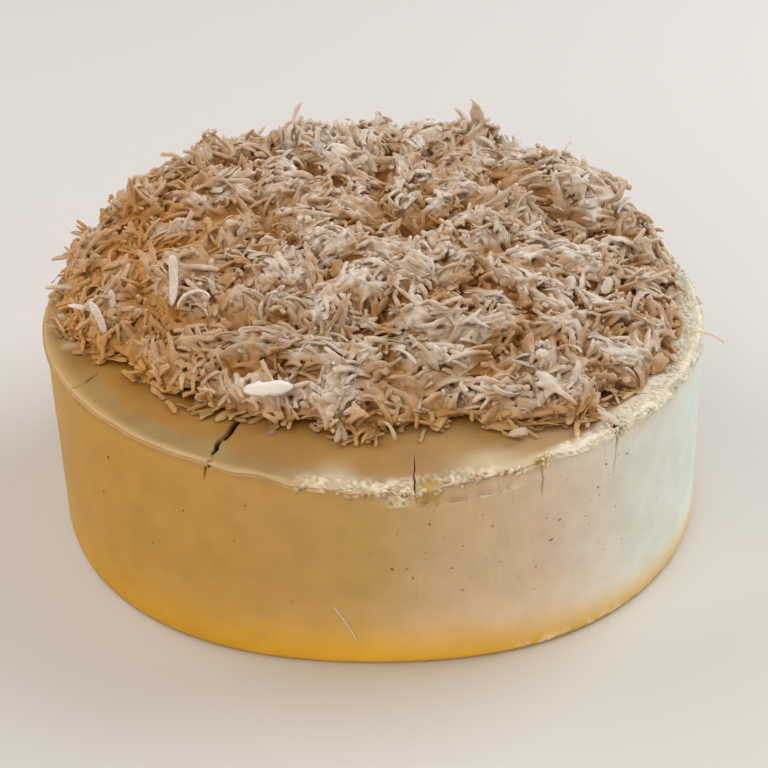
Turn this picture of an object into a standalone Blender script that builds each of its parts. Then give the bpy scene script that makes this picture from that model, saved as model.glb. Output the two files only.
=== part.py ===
"""Ondeh ondeh cake: a low round cake under smooth buttercream, with a heap of palm sugar coconut on its top.

Metres, +Z up. The origin is the middle of the flat underside, and the side that faces the viewer is -Y.
Azimuths are in degrees round the cake, from +X towards +Y.
"""

import math
import random

import bmesh
import bpy
import numpy as np
from mathutils import Matrix, Vector

# The frosted cake
CAKE_RADIUS = 0.100
BASE_RADIUS = 0.1001
CAKE_HEIGHT = 0.064
TOP_LEAN = -0.0020
BASE_EDGE = 0.0024
SIDE_RINGS = (0.74, 0.48, 0.22)
CAKE_STEPS = 96
# Waves round the cake: how many in a turn, height and phase
OUT_OF_ROUND = ((2, 0.00035, 0.6), (3, 0.0003, 2.0), (5, 0.0002, 1.1))
LIP_CRAGS = ((23, 0.5, 0.4), (37, 0.7, 2.1), (31, 0.5, 4.0))
CRAGS_AZIMUTH = -55.0
CRAGS_SPREAD = 60.0
CALM_LIP = 0.25

# The base is a little out of round: flatter at the front and fuller between the quarters
FLAT_AZIMUTH = -89.0
FLAT_SPREAD = 25.0
BASE_FLAT = 0.0020
BASE_SQUARE = 0.0008

# The ridge of frosting that the scraper left round the top edge
LIP_WIDTH = 0.0035
LIP_RISE = 0.0011
LIP_OVERHANG = 0.0010
LIP_DEPTH = 0.0034
LIP_CRAG = 0.0007
FLARE_AZIMUTH = 188.0
FLARE_SPREAD = 26.0
FLARE = 0.0014

# The stretch of the top edge at the front that has sagged
SAG_AZIMUTH = -88.0
SAG_SPREAD = 17.0
SAG_DEPTH = 0.0036
SAG_FROM = 0.080

# Cracks, each as azimuth, radius, height below the top, half width and depth along its way
CRACK_LONG = (
    (-119.4, 0.0760, 0.0, 0.0009, 0.0035),
    (-118.6, 0.0830, 0.0, 0.0008, 0.0040),
    (-117.9, 0.0910, 0.0, 0.0008, 0.0040),
    (-116.6, 0.1000, 0.0005, 0.0006, 0.0035),
    (-117.6, 0.1005, 0.0055, 0.0003, 0.0015),
)
CRACK_FRONT = (
    (-82.2, 0.0850, 0.0, 0.0004, 0.0025),
    (-82.9, 0.0930, 0.0, 0.0006, 0.0030),
    (-83.2, 0.1000, 0.0005, 0.0007, 0.0030),
    (-83.0, 0.1005, 0.0070, 0.0004, 0.0012),
)
CRACK_RIGHT = (
    (-44.6, 0.0955, 0.0, 0.0008, 0.0025),
    (-46.0, 0.1000, 0.0005, 0.0010, 0.0030),
    (-46.5, 0.1005, 0.0060, 0.0004, 0.0015),
    (-47.2, 0.1000, 0.0130, 0.0002, 0.0008),
)
CRACK_LEFT = (
    (-152.4, 0.0900, 0.0, 0.0003, 0.0016),
    (-150.6, 0.0950, 0.0, 0.0006, 0.0020),
    (-149.8, 0.1000, 0.0005, 0.0003, 0.0012),
)
CRACKS = {"long": CRACK_LONG, "front": CRACK_FRONT, "right": CRACK_RIGHT, "left": CRACK_LEFT}
CUTTER_CLEARANCE = 0.0025

# The heap of coconut: azimuth, radius of its foot, height of its shoulder
HEAP_OUTLINE = (
    (-172.0, 0.0900, 0.0150),
    (-150.0, 0.0780, 0.0130),
    (-130.0, 0.0745, 0.0120),
    (-111.0, 0.0700, 0.0120),
    (-92.0, 0.0740, 0.0125),
    (-77.0, 0.0660, 0.0120),
    (-61.0, 0.0775, 0.0120),
    (-45.0, 0.0900, 0.0115),
    (-25.0, 0.0940, 0.0115),
    (0.0, 0.0955, 0.0115),
    (20.0, 0.0945, 0.0115),
    (31.0, 0.0945, 0.0265),
    (40.0, 0.0935, 0.0240),
    (53.0, 0.0930, 0.0175),
    (67.0, 0.0940, 0.0280),
    (80.0, 0.0945, 0.0205),
    (107.0, 0.0950, 0.0220),
    (119.0, 0.0950, 0.0190),
    (132.0, 0.0955, 0.0210),
    (146.0, 0.0955, 0.0175),
    (162.0, 0.0955, 0.0145),
)
HEAP_CENTRE = 0.0185
HEAP_FOOT = 0.0016
HEAP_STEPS = 54
HEAP_RING_SHARES = (0.0, 0.2, 0.38, 0.53, 0.66, 0.77, 0.86, 0.93, 0.98, 1.0)
OUTLINE_BLUR = 4.0
LUMP = 0.0009
LUMPS = ((6, 0.6, 1.0), (11, 0.6, 2.5))
ROUGHNESS = (-0.0003, 0.0015)
GAP = 0.0003

# The shreds that stand out of the heap
TOP_SHREDS = 174
EDGE_SHREDS = 48
SHRED_LENGTH = (0.012, 0.020)
SHRED_WIDTH = (0.0022, 0.0034)
SHRED_THICKNESS = 0.0009
SHRED_ROOT = 0.0012
SHRED_TAPER = 0.45
TOP_REACH = 0.95
EDGE_RING = (0.955, 0.995)
STANDING_SHARE = 0.45
STANDING_TILT = (12.0, 30.0)
STANDING_CURL = (10.0, 45.0)
LYING_TILT = (-7.0, 7.0)
LYING_CURL = (24.0, 55.0)
PLACED_CURL = 14.0
SHRED_CUTS = 2
SHRED_SEED = 7

# Shreds with a place of their own: azimuth, radius, height over the top, heading, tilt, roll, length, width
PLACED_SHREDS = (
    (-115.0, 0.0712, 0.0078, -24.0, 0.0, 50.0, 0.0130, 0.0046),
    (-15.0, 0.0990, 0.0040, -28.0, -4.0, 0.0, 0.0130, 0.0016),
    (168.0, 0.0965, 0.0060, 170.0, -6.0, 0.0, 0.0150, 0.0030),
    (163.0, 0.0950, 0.0085, 140.0, 4.0, 0.0, 0.0140, 0.0026),
    (-93.0, 0.0750, 0.0030, -84.0, -22.0, 0.0, 0.0110, 0.0026),
)

# Finishes: linear colour and roughness
BUTTERCREAM = ((0.62, 0.45, 0.21), 0.55)
GRATED_COCONUT = ((0.47, 0.33, 0.19), 0.6)
CAKE_SHARP_ANGLE = 35.0
HEAP_SHARP_ANGLE = 30.0
MERGE = 0.00001


def smooth_step(value, low, high):
    """0 below low, 1 above high and an even S between them."""
    t = np.clip((value - low) / (high - low), 0.0, 1.0)
    return t * t * (3.0 - 2.0 * t)


def round_bump(azimuth, centre, spread):
    """1 at the centre azimuth, falling away as a bell over the spread."""
    away = (azimuth - centre + 180.0) % 360.0 - 180.0
    return np.exp(-((away / spread) ** 2))


def waves(azimuth, parts):
    """A sum of sines round the cake: each part is waves in a turn, height and phase."""
    turn = np.radians(azimuth)
    return sum(height * np.sin(count * turn + phase) for count, height, phase in parts)


def new_material(name, colour, roughness):
    """A Principled BSDF of one colour, for a food surface."""
    material = bpy.data.materials.new(name)
    material.use_nodes = True
    shader = material.node_tree.nodes["Principled BSDF"]
    shader.inputs["Base Color"].default_value = (*colour, 1.0)
    shader.inputs["Roughness"].default_value = roughness
    shader.inputs["Metallic"].default_value = 0.0
    return material


def new_collection(name):
    collection = bpy.data.collections.new(name)
    bpy.context.scene.collection.children.link(collection)
    return collection


def mesh_object(name, bm, collection):
    """An object made from a bmesh, with its normals facing out."""
    bmesh.ops.recalc_face_normals(bm, faces=bm.faces)
    mesh = bpy.data.meshes.new(name)
    bm.to_mesh(mesh)
    bm.free()
    obj = bpy.data.objects.new(name, mesh)
    collection.objects.link(obj)
    return obj


def apply_modifiers(obj):
    """Puts the evaluated mesh in the place of the object's own and drops its modifiers."""
    evaluated = obj.evaluated_get(bpy.context.evaluated_depsgraph_get())
    mesh = bpy.data.meshes.new_from_object(evaluated)
    old = obj.data
    obj.modifiers.clear()
    obj.data = mesh
    bpy.data.meshes.remove(old)


def turned(name, profile, steps, collection):
    """A profile of radius and height, from the axis at the top to the axis at the base, turned about Z."""
    bm = bmesh.new()
    points = [bm.verts.new((radius, 0.0, height)) for radius, height in profile]
    for upper, lower in zip(points, points[1:]):
        bm.edges.new((upper, lower))
    mesh = bpy.data.meshes.new(name)
    bm.to_mesh(mesh)
    bm.free()
    obj = bpy.data.objects.new(name, mesh)
    collection.objects.link(obj)
    screw = obj.modifiers.new("Turn", "SCREW")
    screw.steps = steps
    screw.render_steps = steps
    screw.use_merge_vertices = True
    screw.merge_threshold = MERGE
    apply_modifiers(obj)
    return obj


def reshape(obj, rule):
    """Moves every vertex by a rule on the whole array of points."""
    count = len(obj.data.vertices)
    points = np.empty(count * 3)
    obj.data.vertices.foreach_get("co", points)
    moved = rule(points.reshape(count, 3))
    obj.data.vertices.foreach_set("co", np.ascontiguousarray(moved).ravel())
    obj.data.update()


def cake_profile():
    """Ledge, lip, side and underside of the frosting, from the top's middle to the base's middle."""
    side = [
        (BASE_RADIUS + (CAKE_RADIUS - BASE_RADIUS) * part, CAKE_HEIGHT * part) for part in SIDE_RINGS
    ]
    return [
        (0.0, CAKE_HEIGHT),
        (SAG_FROM, CAKE_HEIGHT),
        (0.5 * (SAG_FROM + CAKE_RADIUS), CAKE_HEIGHT),
        (CAKE_RADIUS - LIP_WIDTH, CAKE_HEIGHT),
        (CAKE_RADIUS - 0.45 * LIP_WIDTH, CAKE_HEIGHT + LIP_RISE),
        (CAKE_RADIUS, CAKE_HEIGHT + 0.6 * LIP_RISE),
        (CAKE_RADIUS + LIP_OVERHANG, CAKE_HEIGHT - 0.3 * LIP_DEPTH),
        (CAKE_RADIUS, CAKE_HEIGHT - LIP_DEPTH),
        *side,
        (BASE_RADIUS, BASE_EDGE),
        (BASE_RADIUS - 0.3 * BASE_EDGE, 0.3 * BASE_EDGE),
        (BASE_RADIUS - BASE_EDGE, 0.0),
        (0.0, 0.0),
    ]


def settle_cake(points):
    """Gives the turned cake its small faults: out of round, a ragged lip, the flare, the sag and the lean."""
    x, y, z = points.T
    radius = np.hypot(x, y)
    azimuth = np.degrees(np.arctan2(y, x))
    outer = smooth_step(radius, 0.5 * CAKE_RADIUS, CAKE_RADIUS)
    up = z / CAKE_HEIGHT
    on_lip = smooth_step(z, CAKE_HEIGHT - LIP_DEPTH, CAKE_HEIGHT) * smooth_step(
        radius, CAKE_RADIUS - LIP_WIDTH, CAKE_RADIUS - 0.4 * LIP_WIDTH
    )
    crag = waves(azimuth, LIP_CRAGS)
    ragged = CALM_LIP + (1.0 - CALM_LIP) * round_bump(azimuth, CRAGS_AZIMUTH, CRAGS_SPREAD)
    grown = waves(azimuth, OUT_OF_ROUND)
    spread = outer * grown + on_lip * (FLARE * round_bump(azimuth, FLARE_AZIMUTH, FLARE_SPREAD))
    squared = waves(azimuth, ((4, BASE_SQUARE, -0.5 * math.pi),))
    flattened = BASE_FLAT * round_bump(azimuth, FLAT_AZIMUTH, FLAT_SPREAD)
    spread = spread + (1.0 - up) * outer * (squared - flattened)
    sag = SAG_DEPTH * round_bump(azimuth, SAG_AZIMUTH, SAG_SPREAD)
    sag = sag * smooth_step(radius, SAG_FROM, CAKE_RADIUS) * smooth_step(z, 0.5 * CAKE_HEIGHT, CAKE_HEIGHT)
    scale = (radius + spread) / np.maximum(radius, MERGE)
    height = z + on_lip * LIP_CRAG * ragged * crag - sag
    return np.stack((x * scale + TOP_LEAN * up, y * scale, height), axis=1)


def top_fall(azimuth, radius):
    """How far the sagged front lowers the top at a place."""
    sag = SAG_DEPTH * round_bump(azimuth, SAG_AZIMUTH, SAG_SPREAD)
    return float(sag * smooth_step(np.array(radius), SAG_FROM, CAKE_RADIUS))


def way_out(outwards, radius, drop):
    """The direction that the frosting faces: up on the ledge, slanting on the lip and level on the side."""
    slant = 0.0
    if radius > CAKE_RADIUS - 0.5 * LIP_WIDTH:
        slant = math.radians(45.0 + 45.0 * min(1.0, drop / LIP_DEPTH))
    return outwards * math.sin(slant) + Vector((0.0, 0.0, math.cos(slant)))


def crack_cutter(name, way, collection):
    """A wedge that follows a crack over the top edge: a V section at each station, its point inside the frosting."""
    bm = bmesh.new()
    rows = []
    for azimuth, radius, drop, half_width, depth in way:
        turn = math.radians(azimuth)
        outwards = Vector((math.cos(turn), math.sin(turn), 0.0))
        across = Vector((-math.sin(turn), math.cos(turn), 0.0))
        facing = way_out(outwards, radius, drop)
        height = CAKE_HEIGHT - drop - top_fall(azimuth, radius)
        place = outwards * radius + Vector((TOP_LEAN * height / CAKE_HEIGHT, 0.0, height))
        flared = half_width * (1.0 + CUTTER_CLEARANCE / depth)
        rows.append(
            [
                bm.verts.new(place + facing * CUTTER_CLEARANCE + across * flared),
                bm.verts.new(place + facing * CUTTER_CLEARANCE - across * flared),
                bm.verts.new(place - facing * depth),
            ]
        )
    for row, following in zip(rows, rows[1:]):
        for corner in range(3):
            beside = (corner + 1) % 3
            bm.faces.new((row[corner], row[beside], following[beside], following[corner]))
    bm.faces.new(reversed(rows[0]))
    bm.faces.new(rows[-1])
    bmesh.ops.triangulate(bm, faces=bm.faces)
    cutter = mesh_object(f"cutter_{name}", bm, collection)
    cutter.hide_render = True
    cutter.display_type = "WIRE"
    return cutter


def make_cake(parts, cutters):
    """The frosted cake as one solid, with its cracks cut in."""
    cake = turned("frosted_cake", cake_profile(), CAKE_STEPS, parts)
    reshape(cake, settle_cake)
    for name, way in CRACKS.items():
        cut = cake.modifiers.new(f"Crack {name}", "BOOLEAN")
        cut.operation = "DIFFERENCE"
        cut.object = crack_cutter(name, way, cutters)
    cake.data.materials.append(new_material("buttercream", *BUTTERCREAM))
    cake.data.shade_smooth()
    cake.data.set_sharp_from_angle(angle=math.radians(CAKE_SHARP_ANGLE))
    return cake


def read_outline(azimuth):
    """Foot radius and shoulder height at an azimuth, each the mean of three readings so that its corners are round."""
    angles, feet, shoulders = (np.array(column) for column in zip(*HEAP_OUTLINE))
    around = [azimuth - OUTLINE_BLUR, azimuth, azimuth + OUTLINE_BLUR]
    foot = sum(np.interp(angle, angles, feet, period=360.0) for angle in around) / len(around)
    shoulder = sum(np.interp(angle, angles, shoulders, period=360.0) for angle in around) / len(around)
    return foot, shoulder


def heap_point(share, azimuth):
    """A point on the heap's core, for arrays of shares of the way from its middle to its foot and of azimuths."""
    foot, shoulder = read_outline(azimuth)
    towards_edge = smooth_step(share, 0.3, 0.85)
    crown = HEAP_CENTRE * (1.0 - towards_edge) + shoulder * towards_edge
    edge = np.cbrt(np.clip(1.0 - share**8, 0.0, 1.0))
    lumps = waves(azimuth + 40.0 * share, LUMPS) * np.sin(13.0 * share + 1.0)
    height = HEAP_FOOT + (crown - HEAP_FOOT + LUMP * lumps * share) * edge
    turn = np.radians(azimuth)
    radius = share * foot
    return np.stack(
        (radius * np.cos(turn) + TOP_LEAN, radius * np.sin(turn), CAKE_HEIGHT + GAP + height), axis=-1
    )


def heap_profile():
    """Shares of the way to the foot down the heap's top, then its flat underside; heights are 1 above and 0 below."""
    return [*((share, 1.0) for share in HEAP_RING_SHARES), (0.99, 0.0), (0.0, 0.0)]


def shape_heap(points):
    """Carries the turned unit heap on to the uneven outline of the real one, with a bump or a dip at each point."""
    x, y, z = points.T
    share = np.hypot(x, y)
    azimuth = np.degrees(np.arctan2(y, x))
    moved = heap_point(share, azimuth)
    bumps = np.random.default_rng(SHRED_SEED).uniform(*ROUGHNESS, len(points))
    moved[:, 2] += np.where(share < HEAP_RING_SHARES[-2], bumps * smooth_step(share, 0.1, 0.5), 0.0)
    moved[:, 2] = np.where(z > 0.5, moved[:, 2], CAKE_HEIGHT + GAP)
    return moved


def rest_height(x, y):
    """The lowest that a shred may reach at a place: the gap over the top, or well over the lip beyond it."""
    radius = math.hypot(x - TOP_LEAN, y)
    over_lip = LIP_RISE + LIP_CRAG + GAP
    return CAKE_HEIGHT + GAP + (over_lip if radius > CAKE_RADIUS - 1.6 * LIP_WIDTH else 0.0)


def add_shred(name, frame, length, width, curl, collection):
    """One strip of coconut: a box cut across, narrowed to its far end and bent to an arc, at its frame."""
    bm = bmesh.new()
    bmesh.ops.create_cube(bm, size=1.0)
    long_edges = [edge for edge in bm.edges if abs(edge.verts[0].co.x - edge.verts[1].co.x) > 0.5]
    bmesh.ops.subdivide_edges(bm, edges=long_edges, cuts=SHRED_CUTS, use_grid_fill=True)
    bend_radius = 0.5 * length / curl
    for vertex in bm.verts:
        bent = 2.0 * curl * vertex.co.x
        outer = bend_radius + vertex.co.z * SHRED_THICKNESS
        narrowing = 1.0 - SHRED_TAPER * (vertex.co.x + 0.5) ** 2
        local = Vector(
            (outer * math.sin(bent), vertex.co.y * width * narrowing, outer * math.cos(bent) - bend_radius)
        )
        place = frame @ local
        place.z = max(place.z, rest_height(place.x, place.y) + (vertex.co.z + 0.5) * SHRED_THICKNESS)
        vertex.co = place
    mesh_object(name, bm, collection)


def surface_frame(azimuth, share, heading, tilt, lift):
    """A frame on the heap: X along the shred, Z out of the heap, turned by its heading and tipped by its tilt."""
    places = ((share, azimuth), (share - 0.02, azimuth), (share, azimuth + 2.0))
    here, further, beside = (Vector(heap_point(np.array(s), np.array(a))) for s, a in places)
    normal = (beside - here).cross(further - here).normalized()
    if normal.z < 0.0:
        normal = -normal
    along = Matrix.Rotation(heading, 3, normal) @ (here - further).normalized()
    across = normal.cross(along)
    tip = Matrix.Rotation(-tilt, 3, across)
    frame = Matrix((tip @ along, across, tip @ normal)).transposed().to_4x4()
    frame.translation = here + normal * lift
    return frame


def scatter_shreds(collection):
    """Shreds spread evenly over the heap: a sunflower spiral on its top and a ring round its edge.

    Some stand with their lower end in the heap and the others lie as an arch with both ends in it.
    """
    draw = random.Random(SHRED_SEED)
    golden = 180.0 * (3.0 - math.sqrt(5.0))
    shares = [TOP_REACH * math.sqrt((number + 0.5) / TOP_SHREDS) for number in range(TOP_SHREDS)]
    spots = [(number * golden, share) for number, share in enumerate(shares)]
    spots += [(number * 360.0 / EDGE_SHREDS, draw.uniform(*EDGE_RING)) for number in range(EDGE_SHREDS)]
    for number, (azimuth, share) in enumerate(spots):
        azimuth = (azimuth + draw.uniform(-3.0, 3.0)) % 360.0 - 180.0
        heading = draw.uniform(-math.pi, math.pi)
        length = draw.uniform(*SHRED_LENGTH)
        width = draw.uniform(*SHRED_WIDTH)
        if draw.random() < STANDING_SHARE:
            tilt = math.radians(draw.uniform(*STANDING_TILT))
            curl = math.radians(draw.uniform(*STANDING_CURL))
            lift = 0.5 * length * math.sin(tilt) - SHRED_ROOT
        else:
            tilt = math.radians(draw.uniform(*LYING_TILT))
            curl = math.radians(draw.uniform(*LYING_CURL))
            lift = 0.25 * length * curl - 0.3 * SHRED_ROOT
        frame = surface_frame(azimuth, share, heading, tilt, lift)
        add_shred(f"shred_{number:03d}", frame, length, width, curl, collection)


def place_shreds(collection):
    """The flake on the front of the heap and the shreds that reach out past the others."""
    for number, (azimuth, radius, height, heading, tilt, roll, length, width) in enumerate(PLACED_SHREDS):
        turn = math.radians(azimuth)
        frame = (
            Matrix.Translation((radius * math.cos(turn) + TOP_LEAN, radius * math.sin(turn), CAKE_HEIGHT + height))
            @ Matrix.Rotation(math.radians(heading), 4, "Z")
            @ Matrix.Rotation(math.radians(-tilt), 4, "Y")
            @ Matrix.Rotation(math.radians(roll), 4, "X")
        )
        add_shred(f"placed_{number}", frame, length, width, math.radians(PLACED_CURL), collection)


def keep_largest_body(obj):
    """Drops every closed shell but the largest: loose scraps, and the walls of hollows that the fusing sealed."""
    bm = bmesh.new()
    bm.from_mesh(obj.data)
    unseen = set(bm.verts)
    bodies = []
    while unseen:
        reached = {unseen.pop()}
        frontier = list(reached)
        while frontier:
            vertex = frontier.pop()
            for edge in vertex.link_edges:
                other = edge.other_vert(vertex)
                if other not in reached:
                    reached.add(other)
                    frontier.append(other)
        unseen -= reached
        bodies.append(reached)
    largest = max(bodies, key=len)
    bmesh.ops.delete(bm, geom=[vertex for vertex in bm.verts if vertex not in largest], context="VERTS")
    bmesh.ops.triangulate(bm, faces=bm.faces)
    bm.to_mesh(obj.data)
    bm.free()


def make_coconut(parts, cutters):
    """The heap of coconut as one solid: its core, with the shreds that show fused on by one union."""
    heap = turned("coconut_heap", heap_profile(), HEAP_STEPS, parts)
    reshape(heap, shape_heap)
    shreds = bpy.data.collections.new("shreds")
    cutters.children.link(shreds)
    scatter_shreds(shreds)
    place_shreds(shreds)
    union = heap.modifiers.new("Shreds", "BOOLEAN")
    union.operation = "UNION"
    union.solver = "MANIFOLD"
    union.operand_type = "COLLECTION"
    union.collection = shreds
    apply_modifiers(heap)
    for shred in list(shreds.objects):
        bpy.data.objects.remove(shred)
    bpy.data.collections.remove(shreds)
    keep_largest_body(heap)
    heap.data.materials.clear()
    heap.data.materials.append(new_material("grated_coconut", *GRATED_COCONUT))
    heap.data.shade_smooth()
    heap.data.set_sharp_from_angle(angle=math.radians(HEAP_SHARP_ANGLE))
    return heap


def main():
    for obj in list(bpy.data.objects):
        bpy.data.objects.remove(obj)
    parts = new_collection("ondeh_ondeh_cake")
    cutters = new_collection("cutters")
    make_cake(parts, cutters)
    make_coconut(parts, cutters)


main()
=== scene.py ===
"""Ondeh ondeh cake: the looks of a low round cake under palm sugar buttercream and a heap of grated coconut.

Metres, +Z up. The side that faces the viewer is -Y, and azimuths are in degrees from +X towards +Y. The
script dresses the fixed frame. The buttercream's surface stands for the frosted cake, with crumbs on its lip
and specks in its side. A core of fused shreds stands for the heap of coconut, under thousands of loose ones.
"""

import functools
import math

import bpy
import numpy as np
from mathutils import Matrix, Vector


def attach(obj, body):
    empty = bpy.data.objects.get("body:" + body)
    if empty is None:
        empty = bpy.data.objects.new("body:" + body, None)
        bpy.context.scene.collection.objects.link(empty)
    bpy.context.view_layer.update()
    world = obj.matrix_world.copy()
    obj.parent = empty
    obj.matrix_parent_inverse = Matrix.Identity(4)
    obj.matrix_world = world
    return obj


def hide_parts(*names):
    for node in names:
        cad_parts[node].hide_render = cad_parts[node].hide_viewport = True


bl_info = {
    "name": "Ondeh Ondeh Cake",
    "version": (1, 0, 0),
    "blender": (4, 5, 0),
    "location": "3D View > Sidebar > Cake",
    "description": "Dresses the packed cake with buttercream and grated coconut",
    "category": "Object",
}

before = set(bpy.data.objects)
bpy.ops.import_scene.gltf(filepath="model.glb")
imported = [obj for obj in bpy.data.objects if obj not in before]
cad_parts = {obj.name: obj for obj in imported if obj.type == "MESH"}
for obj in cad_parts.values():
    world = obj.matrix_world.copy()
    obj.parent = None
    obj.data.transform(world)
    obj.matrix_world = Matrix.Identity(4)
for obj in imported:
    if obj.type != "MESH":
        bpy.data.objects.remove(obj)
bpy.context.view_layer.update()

MM = 0.001

# The frosted cake, as the solid has it
CAKE_RADIUS = 0.100
BASE_RADIUS = 0.1001
CAKE_HEIGHT = 0.064
TOP_LEAN = -0.0020
BASE_EDGE = 0.0024
LIP_WIDTH = 0.0035
LIP_RISE = 0.0011
LIP_OVERHANG = 0.0010
LIP_DEPTH = 0.0034
LIP_CRAG = 0.0007
LIP_FLARE = 0.0014
SAG_DEPTH = 0.0036
SAG_FROM = 0.080
BASE_DRAWN_IN = 0.0020
# Waves round the cake: number in a turn, height and phase
OUT_OF_ROUND = ((2, 0.00035, 0.6), (3, 0.0003, 2.0), (5, 0.0002, 1.1))
SQUARED = ((4, 0.0008, -0.5 * math.pi),)
LIP_CRAGS = ((23, 0.5, 0.4), (37, 0.7, 2.1), (31, 0.5, 4.0))

# Cracks: the seed of its edge, then azimuth, radius, drop below the top, half width and depth along its way
CRACKS = (
    (4, (
        (-119.4, 0.0760, 0.0, 0.0012, 0.0038),
        (-118.6, 0.0830, 0.0, 0.0010, 0.0038),
        (-117.9, 0.0910, 0.0, 0.0008, 0.0034),
        (-116.6, 0.1000, 0.0005, 0.0005, 0.0018),
        (-117.6, 0.1005, 0.0050, 0.0002, 0.0010),
    )),
    (5, (
        (-82.2, 0.0860, 0.0, 0.00015, 0.0010),
        (-82.9, 0.0930, 0.0, 0.00025, 0.0014),
        (-83.2, 0.1000, 0.0005, 0.00025, 0.0014),
        (-83.0, 0.1005, 0.0030, 0.00015, 0.0008),
    )),
    (5, (
        (-44.6, 0.0955, 0.0, 0.0008, 0.0025),
        (-46.0, 0.1000, 0.0005, 0.0010, 0.0030),
        (-46.5, 0.1005, 0.0060, 0.0003, 0.0010),
        (-47.2, 0.1000, 0.0130, 0.0002, 0.0008),
    )),
    (4, (
        (-152.4, 0.0900, 0.0, 0.0003, 0.0016),
        (-150.6, 0.0950, 0.0, 0.0006, 0.0020),
        (-149.8, 0.1000, 0.0005, 0.0003, 0.0012),
    )),
)

# The heap of coconut: azimuth, radius of its foot, height of its shoulder
HEAP_OUTLINE = (
    (-172.0, 0.0900, 0.0150),
    (-150.0, 0.0780, 0.0130),
    (-130.0, 0.0745, 0.0120),
    (-111.0, 0.0700, 0.0120),
    (-92.0, 0.0740, 0.0125),
    (-77.0, 0.0660, 0.0120),
    (-61.0, 0.0775, 0.0120),
    (-45.0, 0.0900, 0.0115),
    (-25.0, 0.0940, 0.0115),
    (0.0, 0.0955, 0.0115),
    (20.0, 0.0945, 0.0115),
    (31.0, 0.0945, 0.0265),
    (40.0, 0.0935, 0.0240),
    (53.0, 0.0930, 0.0175),
    (67.0, 0.0940, 0.0280),
    (80.0, 0.0945, 0.0205),
    (107.0, 0.0950, 0.0220),
    (119.0, 0.0950, 0.0190),
    (132.0, 0.0955, 0.0210),
    (146.0, 0.0955, 0.0175),
    (162.0, 0.0955, 0.0145),
)
OUTLINE_BLUR = 4.0
HEAP_CENTRE = 0.0185
HEAP_FOOT = 0.0016
MEAN_FOOT = 0.09
GAP = 0.0003

LATTICE_ROWS = 64

# The square grid over the cake's top that holds the tufts and the coconut's mean level
CELL = 0.6 * MM
TOP_REACH = 110.0 * MM
GRID_SIDE = round(2.0 * TOP_REACH / CELL) + 1
LEVEL_BLUR = 3.2 * MM
LEVELS = {}


def smooth_step(value, low, high):
    """0 below low, 1 above high and an even S between them."""
    t = np.clip((value - low) / (high - low), 0.0, 1.0)
    return t * t * (3.0 - 2.0 * t)


def window(value, start, full, fade, end):
    """0 below start, 1 from full to fade and 0 above end, with even S curves between them."""
    return smooth_step(value, start, full) * (1.0 - smooth_step(value, fade, end))


def stretch(azimuth, start, end, soft):
    """1 between two azimuths and 0 outside them, with soft ends."""
    return window(azimuth, start - soft, start + soft, end - soft, end + soft)


def round_bump(azimuth, centre, spread):
    """1 at the centre azimuth, falling away as a bell over the spread."""
    away = (azimuth - centre + 180.0) % 360.0 - 180.0
    return np.exp(-((away / spread) ** 2))


def waves(azimuth, parts):
    """A sum of sines round the cake: each part is waves in a turn, height and phase."""
    turn = np.radians(azimuth)
    return sum(height * np.sin(count * turn + phase) for count, height, phase in parts)


def lattice_noise(u, v, period, seed):
    """Smooth noise from -1 to 1: random values on a lattice, joined by S curves, with a period in u."""
    values = np.random.default_rng(seed).uniform(-1.0, 1.0, (period, LATTICE_ROWS))
    column, row = np.floor(u).astype(int), np.floor(v).astype(int)
    s, t = smooth_step(u - column, 0.0, 1.0), smooth_step(v - row, 0.0, 1.0)
    near, far = (
        values[column % period, line % LATTICE_ROWS] * (1.0 - s)
        + values[(column + 1) % period, line % LATTICE_ROWS] * s
        for line in (row, row + 1)
    )
    return near * (1.0 - t) + far * t


def round_noise(azimuth, along, wavelength, seed, squeeze=1.0):
    """Noise on the cake's skin: its grain is a wavelength round it and squeeze times that down it."""
    period = max(2, round(2.0 * math.pi * CAKE_RADIUS / wavelength))
    return lattice_noise((azimuth / 360.0 + 1.0) * period, along / (wavelength * squeeze) + 7.0, period, seed)


def linear(hex_colour):
    """An sRGB colour written as six hex digits, as linear red, green and blue."""
    parts = [int(hex_colour[place : place + 2], 16) / 255.0 for place in (0, 2, 4)]
    return tuple(part / 12.92 if part <= 0.04045 else ((part + 0.055) / 1.055) ** 2.4 for part in parts)


def unit(vectors):
    """Vectors along the last axis, made one long."""
    return vectors / np.maximum(np.linalg.norm(vectors, axis=-1, keepdims=True), 1e-12)


def turn_way(along, normal, heading, tilt):
    """Turns ways by a heading about their normals, then tilts them towards the normals, both in radians."""
    heading, tilt = np.asarray(heading)[..., None], np.asarray(tilt)[..., None]
    along = along * np.cos(heading) + np.cross(normal, along) * np.sin(heading)
    tilted = along * np.cos(tilt) + normal * np.sin(tilt)
    raised = normal * np.cos(tilt) - along * np.sin(tilt)
    return unit(tilted), unit(raised)


def roll_way(along, normal, roll):
    """Rolls normals about their ways by an angle in radians."""
    return unit(normal * np.cos(roll)[:, None] + np.cross(normal, along) * np.sin(roll)[:, None])


# Meshes


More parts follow.
